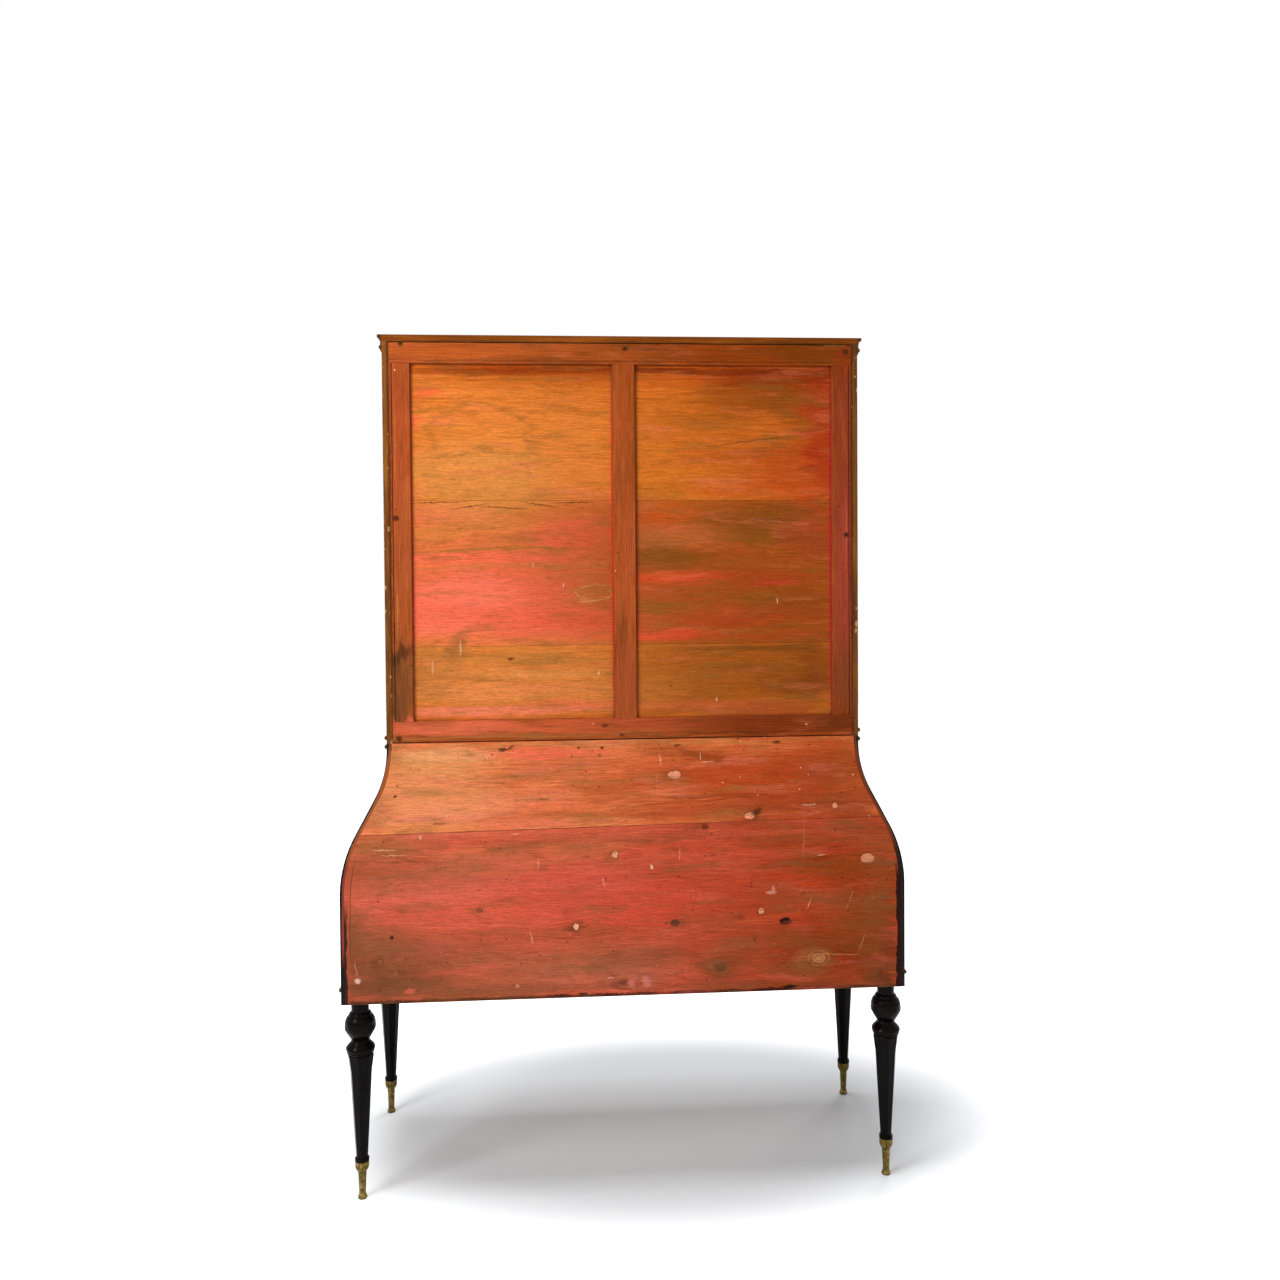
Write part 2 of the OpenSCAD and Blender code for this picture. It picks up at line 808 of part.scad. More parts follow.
// The lock's shield has a keyhole, and the bit turns in a round chamber behind it
key_shank_r = 2;
key_bit_h = 6;
shield_t = 3.5;
chamber_l = 10;
module door_lock()
    color(brass)
        difference() {
            union() {
                block(
                    [door_x0, lock_x + 11.8],
                    [upper_front_y + lock_in_y + 0.2, upper_front_y + door_t],
                    [lock_z - 29.8, lock_z + 29.8]
                );
                at_lock()
                    translate([0, 0, -1])
                        cylinder(r = escutcheon_r, h = lock_in_y + 3, $fn = curve_fn);
            }
            at_lock() {
                translate([0, 0, shield_t])
                    cylinder(r = key_bit_h + 0.5, h = chamber_l, $fn = curve_fn);
                translate([0, 0, -2])
                    cylinder(r = key_shank_r + 0.06, h = shield_t + chamber_l + 6, $fn = curve_fn);
                translate([-1.2, 0, -2])
                    cube([2.4, key_bit_h + 0.4, shield_t + 3]);
            }
        }

// A small steel key, with its bit in the chamber of the lock
module door_key()
    color("#8d8778")
        at_lock() {
            translate([0, 0, -26])
                cylinder(r = key_shank_r, h = 42, $fn = curve_fn);
            translate([-1, 0, shield_t + 1])
                cube([2, key_bit_h, chamber_l - 2.5]);
            translate([-1.25, 0, -33])
                rotate([0, 90, 0])
                    difference() {
                        cylinder(r = 10, h = 2.5, $fn = curve_fn);
                        translate([0, 0, -eps])
                            cylinder(r = 6.5, h = 2.5 + 2 * eps, $fn = curve_fn);
                    }
        }

// Lower case

// Outline of a side seen from the side: upright at the drawers, then back along the fall's flat face
module side_outline()
    polygon([
        [front_y, leg_h], [front_y, desk_z],
        [front_y + (seam_z - desk_z) * tan(fall_lean), seam_z],
        [back_y, seam_z], [back_y, leg_h]
    ]);

module lower_side()
    difference() {
        intersection() {
            along_y(front_y, back_y)
                polygon(concat(
                    ogee_outline(0),
                    [for (i = [len(ogee_outline(side_t)) - 1:-1:0]) ogee_outline(side_t)[i]]
                ));
            along_x(0, base_hw + eps)
                side_outline();
        }
        along_y(lower_back_y, back_y + eps)
            offset_inside(back_lip);
    }

// What lies inside the sides' faces set in by t, a little over their ends
module offset_inside(t)
    polygon(concat(
        [[0, leg_h - eps], [base_hw - t, leg_h - eps]],
        ogee_outline(t),
        [[upper_hw - t, seam_z + eps], [0, seam_z + eps]]
    ));

module lower_side_left()
    color(ebonised)
        on_side(-1)
            lower_side();

module lower_side_right()
    color(ebonised)
        lower_side();

function joint_z(x) = leg_h + (back_joint_low + back_joint_high) / 2
    - (back_joint_high - back_joint_low) * x / base_w;

module back_board(low, high)
    intersection() {
        along_y(lower_back_y, back_y)
            case_outline(back_lip);
        along_y(lower_back_y - eps, back_y + eps)
            polygon([[-base_hw, low[0]], [base_hw, low[1]], [base_hw, high[1]], [-base_hw, high[0]]]);
    }

module lower_back_upper()
    color(back_wood)
        back_board(
            [joint_z(-base_hw) + board_gap / 2, joint_z(base_hw) + board_gap / 2],
            [seam_z, seam_z]
        );

module lower_back_lower()
    color(back_wood)
        back_board(
            [leg_h, leg_h],
            [joint_z(-base_hw) - board_gap / 2, joint_z(base_hw) - board_gap / 2]
        );

// A board of the lower case, fitted between the sides
module case_board(y, z)
    intersection() {
        along_y(y[0], y[1])
            case_outline(side_t);
        block([-base_hw, base_hw], [y[0] - eps, y[1] + eps], z);
    }

module lower_top()
    color(carcase_wood)
        intersection() {
            case_board([ogee_y, lower_back_y], [gallery_top_z, seam_z]);
            along_x(-base_hw, base_hw)
                side_outline();
        }

module leg_places() {
    for (x = [-leg_x, leg_x], y = [leg_front_y, leg_back_y])
        translate([x, y, 0])
            children();
}

module lower_bottom()
    color(carcase_wood)
        difference() {
            case_board([front_y, lower_back_y], [leg_h, leg_h + case_board_t]);
            leg_places()
                translate([0, 0, leg_h - eps])
                    cylinder(r = tenon_r + 0.1, h = tenon_l + eps + 0.3, $fn = curve_fn);
        }

// The rail over the fall: its lower face is square to the fall's flat face
module waist_rail()
    color(ebonised)
        intersection() {
            along_x(-base_hw, base_hw)
                behind_front();
            along_y(ogee_y, back_y)
                case_outline(0);
            on_fall()
                block([-base_hw, base_hw], [0.1, 2 * fall_t], [fall_l + 2 * fall_gap, 2 * fall_l]);
        }

module desk_board()
    color(inner_wood)
        difference() {
            case_board([front_y + fall_gap, lower_back_y], [desk_z - desk_t, desk_z]);
            for (x = fall_hinge_xs)
                at_desk_leaf(x)
                    hinge_recess(0);
        }

module drawer_rails()
    color(ebonised) {
        case_board([front_y, front_y + rail_d], [top_rail_z, desk_z - desk_t]);
        case_board([front_y, front_y + rail_d], [mid_rail_z, upper_opening_z]);
        case_board([front_y, front_y + rail_d], [leg_h + case_board_t, plinth_top_z]);
    }

module loper_dividers()
    color(carcase_wood)
        for (side = [-1, 1])
            on_side(side)
                block(
                    [divider_x - loper_divider_t, divider_x],
                    [front_y, lower_back_y],
                    [upper_opening_z, top_rail_z]
                );

runner_w = 40;
module runner(x, z)
    intersection() {
        case_board([front_y + rail_d, lower_back_y], z);
        block([x, base_in], [front_y, back_y], z);
    }

module drawer_runners()
    color(inner_wood)
        for (side = [-1, 1])
            on_side(side) {
                runner(divider_x - loper_divider_t - runner_w, [mid_rail_z, upper_opening_z]);
                runner(base_in - runner_w, [leg_h + case_board_t, plinth_top_z]);
                runner(divider_x, [top_rail_z, desk_z - desk_t]);
            }

// The fall and what it carries

module fall()
    color(ebonised)
        difference() {
            intersection() {
                along_x(-base_hw, base_hw)
                    behind_front();
                along_y(ogee_y - eps, back_y)
                    case_outline(0);
                on_fall()
                    block([-base_hw, base_hw], [fall_gap, 2 * fall_t], [fall_gap, fall_l]);
            }
            on_fall()
                block(
                    [-leather_hw, leather_hw],
                    [0, fall_gap + leather_t],
                    [leather_margin, fall_l - leather_margin]
                );
            for (x = fall_hinge_xs)
                at_fall_leaf(x)
                    hinge_recess(fall_gap);
            on_fall()
                block([-lock_w / 2, lock_w / 2], [0, fall_gap + lock_d], [fall_l - lock_h, fall_l + eps]);
            on_fall()
                translate([0, 0, fall_l - lock_h / 2])
                    rotate([-90, 0, 0])
                        cylinder(r = escutcheon_r + 0.1, h = 2 * fall_t, $fn = curve_fn);
        }

leather_hw = upper_hw - leather_margin;
module fall_leather()
    color(leather_red)
        on_fall()
            block(
                [-leather_hw + 0.2, leather_hw - 0.2],
                [fall_gap, fall_gap + leather_t],
                [leather_margin + 0.2, fall_l - leather_margin - 0.2]
            );

module fall_hinge_leaves()
    color(brass)
        for (x = fall_hinge_xs)
            at_fall_leaf(x)
                hinge_leaf([0, 2], [1], fall_gap);

lock_w = 70;
lock_h = 40;
lock_d = 14;
module fall_lock()
    color(brass)
        difference() {
            on_fall() {
                block(
                    [-lock_w / 2 + 0.2, lock_w / 2 - 0.2],
                    [fall_gap, fall_gap + lock_d - 0.2],
                    [fall_l - lock_h + 0.2, fall_l]
                );
                translate([0, 0, fall_l - lock_h / 2])
                    rotate([-90, 0, 0])
                        cylinder(r = escutcheon_r, h = lock_face, $fn = curve_fn);
            }
            on_fall()
                translate([-1, lock_d, fall_l - lock_h / 2 - 5])
                    cube([2, 2 * fall_t, 10]);
        }

// How far out of the flat face the ogee lies at the height of the keyhole
key_u = fall_l - lock_h / 2;
key_y = front_y + key_u * sin(fall_lean);
key_z = desk_z + key_u * cos(fall_lean);
function face_out(n) = n == 0
    ? fall_t
    : (key_y - front_of(key_z + face_out(n - 1) * sin(fall_lean))) / cos(fall_lean);
lock_face = face_out(6) + 0.8;

module loper()
    union() {
        block(
            [loper_x - loper_w, loper_x],
            [front_y, front_y + loper_l],
            [upper_opening_z + slide_gap, loper_top_z]
        );
        translate([loper_x - loper_w / 2, front_y, (upper_opening_z + loper_top_z) / 2])
            rotate([90, 0, 0])
                turned_knob(7, 14);
    }

module loper_left()
    color(ebonised)
        on_side(-1)
            loper();

module loper_right()
    color(ebonised)
        loper();

// Drawers

// A knob turned to radius r, standing out by h along Z
module turned_knob(r, h)
    rotate_extrude($fn = curve_fn)
        polygon(concat(
            [[0, 0], [0.55 * r, 0], [0.5 * r, 0.1 * h], [0.4 * r, 0.3 * h]],
            [for (i = [0:8]) let (a = -60 + 150 * i / 8) [r * cos(a), 0.68 * h + 0.32 * h * sin(a)]]
        ));

// A drawer whose front spans x and z, with its sides set down from the top of the front
module drawer(x, z, y, l, front_t, side_t, bottom_t, drop)
    difference() {
        union() {
            block(x, [y, y + front_t], z);
            block([x[0] + 0.6, x[1] - 0.6], [y + front_t - eps, y + l], [z[0], z[1] - drop]);
        }
        block(
            [x[0] + 0.6 + side_t, x[1] - 0.6 - side_t],
            [y + front_t, y + l - side_t],
            [z[0] + bottom_t + 4, z[1] + eps]
        );
        block(
            [x[0] + 0.6 + side_t, x[1] - 0.6 - side_t],
            [y + front_t, y + l + eps],
            [z[0] - eps, z[0] + 4]
        );
    }

module drawer_upper()
    color(inner_wood)
        drawer(
            [-upper_drawer_hw, upper_drawer_hw],
            [upper_opening_z + slide_gap, loper_top_z],
            front_y, drawer_l, drawer_front_t, drawer_side_t, drawer_bottom_t, drawer_side_drop
        );

module drawer_lower()
    color(inner_wood)
        drawer(
            [-lower_drawer_hw, lower_drawer_hw],
            [plinth_top_z + slide_gap, mid_rail_z - slide_gap],
            front_y, drawer_l, drawer_front_t, drawer_side_t, drawer_bottom_t, drawer_side_drop
        );

module drawer_knobs(z)
    for (x = [-knob_x, knob_x])
        translate([x, front_y, z])
            rotate([90, 0, 0])
                turned_knob(knob_d / 2, 0.9 * knob_d);

module drawer_upper_knobs()
    color(brass)
        drawer_knobs((upper_opening_z + loper_top_z) / 2);

module drawer_lower_knobs()
    color(brass)
        drawer_knobs((plinth_top_z + mid_rail_z) / 2);

// Gallery

gallery_board_y = [gallery_y, lower_back_y - gallery_inner_t];
module gallery_boards()
    color(inner_wood)
        for (z = [desk_z, hole_z - gallery_inner_t, gallery_top_z - gallery_inner_t])
            block(
                [-gallery_hw + gallery_t, gallery_hw - gallery_t],
                gallery_board_y,
                [z, z + gallery_inner_t]
            );

module gallery_upright(x, t, z)
    block([x, x + t], gallery_board_y, z);

module gallery_partitions()
    color(inner_wood) {
        x0 = -gallery_hw + gallery_t - gallery_inner_t;
        for (x = [-gallery_hw, gallery_hw - gallery_t])
            gallery_upright(x, gallery_t, [desk_z, gallery_top_z]);
        for (i = [1:small_count - 1])
            gallery_upright(x0 + i * small_pitch, gallery_inner_t, [small_z, hole_z - gallery_inner_t]);
        for (i = [1:hole_count - 1])
            gallery_upright(x0 + i * hole_pitch, gallery_inner_t, [hole_z, gallery_top_z - gallery_inner_t]);
    }

module gallery_back()
    color(inner_wood)
        block(
            [-gallery_hw, gallery_hw],
            [lower_back_y - gallery_inner_t, lower_back_y],
            [desk_z, gallery_top_z]
        );

// Shaped boards that close the space between the gallery and the curved sides
module gallery_facings()
    color(inner_wood)
        for (side = [-1, 1])
            on_side(side)
                intersection() {
                    along_y(gallery_y, gallery_y + gallery_t)
                        offset_inside(side_t);
                    block([gallery_hw, base_hw], [gallery_y - eps, lower_back_y], [desk_z, gallery_top_z]);
                }

module small_drawer(i)
    color(inner_wood) {
        x0 = -gallery_hw + gallery_t + i * small_pitch;
        x1 = x0 + small_pitch - gallery_inner_t;
        drawer(
            [x0 + slide_gap, x1 - slide_gap],
            [small_z + slide_gap, small_z + small_opening_h - slide_gap],
            gallery_y, small_l, small_front_t, small_side_t, small_side_t - 1, drawer_side_drop
        );
        translate([(x0 + x1) / 2, gallery_y, small_z + small_opening_h / 2])
            rotate([90, 0, 0])
                turned_knob(7, 13);
    }

module small_drawer_1() small_drawer(0);
module small_drawer_2() small_drawer(1);
module small_drawer_3() small_drawer(2);
module small_drawer_4() small_drawer(3);

// Legs

// Outline of the turned top, as depth below the case and radius: pad, neck, urn, neck, cup and lip.
// It is drawn for legs 455 long with an urn 34.6 in radius.
leg_k = leg_h / 455;
urn_k = urn_r / 34.6;
leg_turning = [
    [0, 25.5], [5, 22], [5.5, 19.8], [25, 19.6], [27, 21.6], [30, 24.2], [33.5, 25.6], [34.5, 25.2],
    [36, 27.6], [39.5, 30.4], [40.5, 30], [42, 31.6], [47, 33.5], [52.5, 34.4], [53.5, 33.9],
    [54.5, 34.6], [60, 34.6], [65, 33.7], [70, 32], [75, 29.4], [80, 26.3], [85, 23.2], [89.5, 20.8],
    [90, 20], [91.5, 20.9], [93, 20], [94.5, 21.4], [98, 24.6], [102, 28.4], [105, 31], [108, 32.5],
    [111.5, 32.5], [113, 31.4], [113.6, 30.4], [115, 30.9], [117.5, 31], [119, 30.2], [119.8, 26.4],
    [121, 26.2], [123.5, 28.2], [126.5, 29.4]
];
leg_top = [for (p = leg_turning) [p[0] * leg_k, p[1] * urn_k]];
// The shaft below it, as height above the floor and radius over the arrises, and the share of that
// radius at which the eight flats lie
shaft_steps = [
    [leg_h - 126.5 * leg_k, 29.4 * urn_k],
    [leg_h - 163 * leg_k, 24.3 * urn_k],
    [shaft_z, shaft_foot_r]
];
flat_share = 0.936;

// One set of flats, cut from height z0 and radius r0 up to z1 and r1, and on past it by over
module shaft_flats(low, high, over) {
    tilt = atan(flat_share * (high[1] - low[1]) / (high[0] - low[0]));
    for (i = [0:7])
        rotate([0, 0, 22.5 + 45 * i])
            translate([flat_share * low[1], 0, low[0]])
                rotate([0, tilt, 0])
                    translate([0, -ring_r * 2, 0])
                        cube([ring_r * 2, ring_r * 4, (high[0] - low[0]) / cos(tilt) + over]);
}

tip_r = shaft_foot_r - 0.2;
tip_end_r = 8.8;
tip_end_z = 66;
module turned_leg()
    difference() {
        rotate_extrude($fn = curve_fn)
            polygon(concat(
                [[0, leg_h + tenon_l], [tenon_r, leg_h + tenon_l], [tenon_r, leg_h]],
                [for (p = leg_top) [p[1], leg_h - p[0]]],
                [for (p = shaft_steps) [p[1], p[0]]],
                [[ring_r - 1, shaft_z], [ring_r, shaft_z - 2],
                 [ring_r, shoe_h + 2], [ring_r - 1, shoe_h], [tip_r, shoe_h],
                 [tip_end_r, tip_end_z], [0, tip_end_z]]
            ));
        shaft_flats(shaft_steps[2], shaft_steps[1], 0);
        shaft_flats(shaft_steps[1], shaft_steps[0], 5.5 * leg_k);
    }

module leg_back_left()
    color(ebonised)
        translate([-leg_x, leg_back_y, 0])
            turned_leg();

module leg_back_right()
    color(ebonised)
        translate([leg_x, leg_back_y, 0])
            turned_leg();

module leg_front_left()
    color(ebonised)
        translate([-leg_x, leg_front_y, 0])
            turned_leg();

module leg_front_right()
    color(ebonised)
        translate([leg_x, leg_front_y, 0])
            turned_leg();

// A cast brass shoe: a fluted cup that narrows to a slender tube with a flared foot
flute_count = 12;
cup_z = shoe_h - 22;
module sabot()
    difference() {
        rotate_extrude($fn = curve_fn)
            polygon([
                [0, 0], [9, 0], [10.3, 1.2], [10.5, 3.6], [9.2, 6.5], [7.9, 11], [7.6, 16], [8.3, 36],
                [9.4, cup_z - 4.5], [9.6, cup_z - 2.6], [9.1, cup_z - 1.8], [10.4, cup_z - 0.6],
                [12.2, cup_z + 1.6], [14, cup_z + 5], [15.1, cup_z + 9], [15.6, shoe_h - 4],
                [15.6, shoe_h],
                [tip_r + 0.1, shoe_h], [tip_end_r + 0.1, tip_end_z - 0.2], [0, tip_end_z - 0.2]
            ]);
        for (i = [0:flute_count - 1])
            rotate([0, 0, 360 * (i + 0.5) / flute_count])
                translate([14.2, 0, cup_z + 2])
                    rotate([0, 7.4, 0])
                        cylinder(r = 1.9, h = 17, $fn = curve_fn);
    }

module sabots()
    color(brass)
        leg_places()
            sabot();

upper_side_left();
upper_side_right();
upper_bottom();
upper_top();
frieze_rail();
cornice();
brass_beads();
back_frame_rails();
back_frame_stiles();
back_frame_muntin();
back_panel_left();
back_panel_right();
back_screws();
shelves();
shelf_pegs();
door_frame_left();
door_frame_right();
door_glass_left();
door_glass_right();
door_hinges_left();
door_hinges_right();
case_hinge_leaves();
hinge_pins();
door_lock();
door_key();
lower_side_left();
lower_side_right();
lower_back_upper();
lower_back_lower();
lower_top();
lower_bottom();
waist_rail();
desk_board();
drawer_rails();
loper_dividers();
drawer_runners();
fall();
fall_leather();
fall_hinge_leaves();
fall_lock();
loper_left();
loper_right();
drawer_upper();
drawer_upper_knobs();
drawer_lower();
drawer_lower_knobs();
gallery_boards();
gallery_partitions();
gallery_back();
gallery_facings();
small_drawer_1();
small_drawer_2();
small_drawer_3();
small_drawer_4();
leg_back_left();
leg_back_right();
leg_front_left();
leg_front_right();
sabots();
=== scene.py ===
"""The looks of a secretary bookcase in two parts, seen from behind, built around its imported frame."""
import copy
import math
from types import SimpleNamespace

import bpy
from mathutils import Euler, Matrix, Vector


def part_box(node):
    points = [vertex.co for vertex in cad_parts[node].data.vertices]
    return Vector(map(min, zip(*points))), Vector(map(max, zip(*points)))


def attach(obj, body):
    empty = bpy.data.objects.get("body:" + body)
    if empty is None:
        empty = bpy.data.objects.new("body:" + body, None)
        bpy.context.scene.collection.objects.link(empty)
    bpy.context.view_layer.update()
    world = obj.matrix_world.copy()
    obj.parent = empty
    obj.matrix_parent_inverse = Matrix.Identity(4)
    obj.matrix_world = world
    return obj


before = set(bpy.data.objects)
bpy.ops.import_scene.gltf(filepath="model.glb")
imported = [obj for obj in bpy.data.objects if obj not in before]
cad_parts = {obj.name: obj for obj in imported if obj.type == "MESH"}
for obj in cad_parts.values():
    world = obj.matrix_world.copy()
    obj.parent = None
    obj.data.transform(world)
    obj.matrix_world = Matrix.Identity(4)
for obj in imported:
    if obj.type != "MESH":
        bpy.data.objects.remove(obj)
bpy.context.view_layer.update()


# The view. The photograph looks level at the back of the piece from 2.4 m away, at the height of the door locks,
# with a moderate wide lens that was shifted down a little.
camera_data = bpy.data.cameras.new("camera")
camera_data.lens = 30.604
camera_data.sensor_width = 36.0
camera_data.shift_x = -0.0046
camera_data.shift_y = -0.0288
camera = bpy.data.objects.new("camera", camera_data)
camera.location = (0.12209, 2.69691, 1.40188)
camera.rotation_euler = Euler([math.radians(turn) for turn in (88.6784, 0.4253, 176.0245)])
bpy.context.scene.collection.objects.link(camera)
bpy.context.scene.camera = camera
bpy.context.scene.view_settings.view_transform = "Standard"


# The photographer's room: white paper under and behind the piece, even light from all round, and one large soft
# lamp above the viewer's left hand, which leaves the far side of the back darker.
def soft_lamp(name, place, aim, size, power):
    lamp_data = bpy.data.lights.new(name, "AREA")
    lamp_data.shape = "SQUARE"
    lamp_data.size = size
    lamp_data.energy = power
    lamp = bpy.data.objects.new(name, lamp_data)
    lamp.location = place
    x, y, z = (a - p for a, p in zip(aim, place))
    lamp.rotation_euler = Euler((math.atan2(math.hypot(x, y), -z), 0.0, math.atan2(-x, y)))
    bpy.context.scene.collection.objects.link(lamp)


soft_lamp("lamp_behind", (2.1, 1.7, 2.4), (0.1, 0.2, 1.2), 1.1, 52)
soft_lamp("lamp_before", (-1.8, -2.6, 2.4), (0.0, -0.2, 1.0), 1.6, 40)
soft_lamp("lamp_above", (0.35, 0.0, 4.6), (0.0, 0.0, 0.0), 2.2, 190)


def feed(node, inputs):
    """Sets inputs of a node, by name or number, and links those whose value is a node or one of its outputs."""
    for name, value in inputs.items():
        if isinstance(value, bpy.types.Node):
            value = next(socket for socket in value.outputs if socket.enabled)
        if isinstance(value, bpy.types.NodeSocket):
            node.id_data.links.new(value, node.inputs[name])
        else:
            node.inputs[name].default_value = value


def add(tree, kind, *inputs, **settings):
    """A new node of that kind, which may name its operation too, with its settings made and its inputs fed: in their
    order, or by name from a dict. A MapRange takes a value, the ends of its range and the ends of the new range."""
    kind, *operation = kind.split()
    node = tree.nodes.new("ShaderNode" + kind)
    if operation:
        node.operation = operation[0]
    for name, value in settings.items():
        setattr(node, name, value)
    feed(node, inputs[0] if inputs and isinstance(inputs[0], dict) else dict(enumerate(inputs)))
    return node


def paper_is_seen(tree):
    """1 where the paper is looked at: by the camera, in polish or metal, or through glass."""
    ray = add(tree, "LightPath").outputs
    straight = add(tree, "Math MAXIMUM", ray["Is Camera Ray"], ray["Is Glossy Ray"])
    return add(tree, "Math MAXIMUM", straight, ray["Is Transmission Ray"])


WHITE = (1.0, 1.0, 1.0, 1.0)
ROOM_LIGHT = 0.42        # what the white paper gives to the piece, where the camera sees 1
world = bpy.data.worlds.new("white_room")
world.use_nodes = True
bpy.context.scene.world = world
room = world.node_tree
light = add(room, "MapRange", {"Value": paper_is_seen(room), "To Min": ROOM_LIGHT, "To Max": 1.0})
feed(room.nodes["Background"], {"Color": WHITE, "Strength": light})


def linear(hex_colour):
    """An sRGB hex colour as the linear colour that the shaders take."""
    levels = [int(hex_colour[i:i + 2], 16) / 255 for i in (1, 3, 5)]
    return tuple(c / 12.92 if c <= 0.04045 else ((c + 0.055) / 1.055) ** 2.4 for c in levels) + (1.0,)


def new_material(name):
    """A new material, the tree of its nodes and its shader."""
    material = bpy.data.materials.new(name)
    material.use_nodes = True
    return material, material.node_tree, material.node_tree.nodes["Principled BSDF"]


def new_piece(name, points, faces, material):
    """A new object in the scene with a mesh of these points and faces."""
    mesh = bpy.data.meshes.new(name)
    mesh.from_pydata(points, [], faces)
    mesh.materials.append(material)
    piece = bpy.data.objects.new(name, mesh)
    bpy.context.scene.collection.objects.link(piece)
    return piece


# The paper glows white to camera, gloss and glass rays, and glows more the farther it lies from the piece. This
# painted light whitens the floor all round, so its shade shows only under and beside the piece.
SMOOTH = dict(interpolation_type="SMOOTHSTEP")        # for a MapRange that starts and ends gently
paper, sheet, coat = new_material("matt_white_paper")
place = add(sheet, "TexCoord").outputs["Object"]
middle = add(sheet, "VectorMath MULTIPLY_ADD", place, (1.05, 1.82, 0.0), (0.12, 0.19, 0.0))
away = add(sheet, "VectorMath LENGTH", middle)
sweep = add(sheet, "MapRange", away, 0.62, 1.25, 0.02, 0.9, **SMOOTH)
painted_glow = add(sheet, "Math MULTIPLY", paper_is_seen(sheet), sweep)
feed(coat, {"Base Color": linear("#cdd0d4"), "Roughness": 0.9, "Specular IOR Level": 0.0, "Emission Color": WHITE,
            "Emission Strength": painted_glow})
new_piece("floor", [(-9, -9, 0), (9, -9, 0), (9, 9, 0), (-9, 9, 0)], [(0, 1, 2, 3)], paper)


# The six boards behind the bookcase. They are planed softwood about 6 mm thick, laid level in the grooves of the
# frame, and were brushed with a thin orange and red stain that dried in clouds along the grain.
DARK, LIGHT = 0.36, 0.64        # the tone of the grain lies between these two in nearly all of the wood
RAYS = dict(samples=6)         # rays for each look round a point, for soft edges and for hollows


def mm(*lengths):
    """Millimetres as metres."""
    return tuple(length / 1000 for length in lengths)


def tones_over(tree, value, tones, low=0.0, high=1.0):
    """Colours from dark to light, spread evenly over a value from low to high."""
    ramp = add(tree, "ValToRGB", value)
    first, last = ramp.color_ramp.elements
    first.position, last.position = low, high
    first.color, last.color = linear(tones[0]), linear(tones[-1])
    for i, tone in enumerate(tones[1:-1], 1):
        ramp.color_ramp.elements.new(low + (high - low) * i / (len(tones) - 1)).color = linear(tone)
    return ramp


def long_noise(tree, place, along, length, width, detail, rough):
    """A noise that is drawn out along an axis: its blots have that length and width in mm."""
    stretch = tuple(1000 / (length if axis == along else width) for axis in "XYZ")
    laid = add(tree, "VectorMath MULTIPLY", place, stretch)
    return add(tree, "TexNoise", {"Vector": laid, "Scale": 1.0, "Detail": detail, "Roughness": rough})


def shaken(tree, place, noise, reach):
    """A place moved about by a noise, by up to half of that reach in mm along each axis."""
    shift = add(tree, "VectorMath SUBTRACT", noise.outputs["Color"], (0.5, 0.5, 0.5))
    return add(tree, "VectorMath MULTIPLY_ADD", shift, mm(*reach), place)


def grain_of(name, along, tones, streak=(190, 5), fibre=(60, 1.8), cloud=(420, 60), wave=7.0,
             shares=(0.32, 0.3, 0.38), swirls=()):
    """A new wood: grain along X, Y or Z in three widths, each a length and a width in mm, waved by so many mm, and
    its tones from dark to light. A swirl (x, z, reach, pull) bends the grain round a knot. A real fibre is under
    1 mm wide, and 1.8 mm is the least that shows in the picture."""
    wood, tree, shader = new_material(name)
    place = add(tree, "TexCoord").outputs["Object"]
    drift = add(tree, "TexNoise", {"Vector": place, "Scale": 2.6, "Detail": 1.0})
    waved = shaken(tree, place, drift, (wave, wave, wave))
    for x, z, reach, pull in swirls:
        off = add(tree, "VectorMath SUBTRACT", place, mm(x, 0, z))
        flat = add(tree, "VectorMath MULTIPLY", off, (0.55, 0.0, 1.0))
        far = add(tree, "VectorMath LENGTH", flat)
        hold = add(tree, "MapRange", far, 0.0, reach / 1000, -pull, 0.0, **SMOOTH)
        bend = add(tree, "VectorMath SCALE", {0: flat, "Scale": hold})
        waved = add(tree, "VectorMath ADD", waved, bend)
    tone, bands = 0.0, []
    for (length, width), share, detail in zip((cloud, streak, fibre), shares, (2.0, 4.0, 2.0)):
        bands.append(long_noise(tree, waved, along, length, width, detail, 0.55))
        tone = add(tree, "Math MULTIPLY_ADD", bands[-1], share, tone)
    colour = tones_over(tree, tone, tones, DARK, LIGHT)
    fray = long_noise(tree, waved, along, 150, 22, 5.0, 0.65)
    ragged = shaken(tree, place, fray, [160 if axis == along else 45 for axis in "XYZ"])        # for soft stains
    chips = add(tree, "TexNoise", {"Vector": place, "Scale": 150.0, "Detail": 3.0, "Roughness": 0.6})
    return SimpleNamespace(wood=wood, tree=tree, shader=shader, along=along, place=place, waved=waved, ragged=ragged,
                           chipped=shaken(tree, place, chips, (9, 9, 9)), tone=tone, cloud=bands[0], streak=bands[1],
                           fibre=bands[2], colour=colour)


def cover(oak, colour, mask, *masks, way="MIX"):
    """Another colour wherever all the masks are 1. MIX covers the wood; MULTIPLY darkens what lies under it, for the
    open grain and for painted shade.
    """
    for factor in masks:
        mask = add(oak.tree, "Math MULTIPLY", mask, factor)
    colour = linear(colour) if isinstance(colour, str) else colour
    oak.colour = add(oak.tree, "Mix", {0: mask, 6: oak.colour, 7: colour}, data_type="RGBA", blend_type=way)


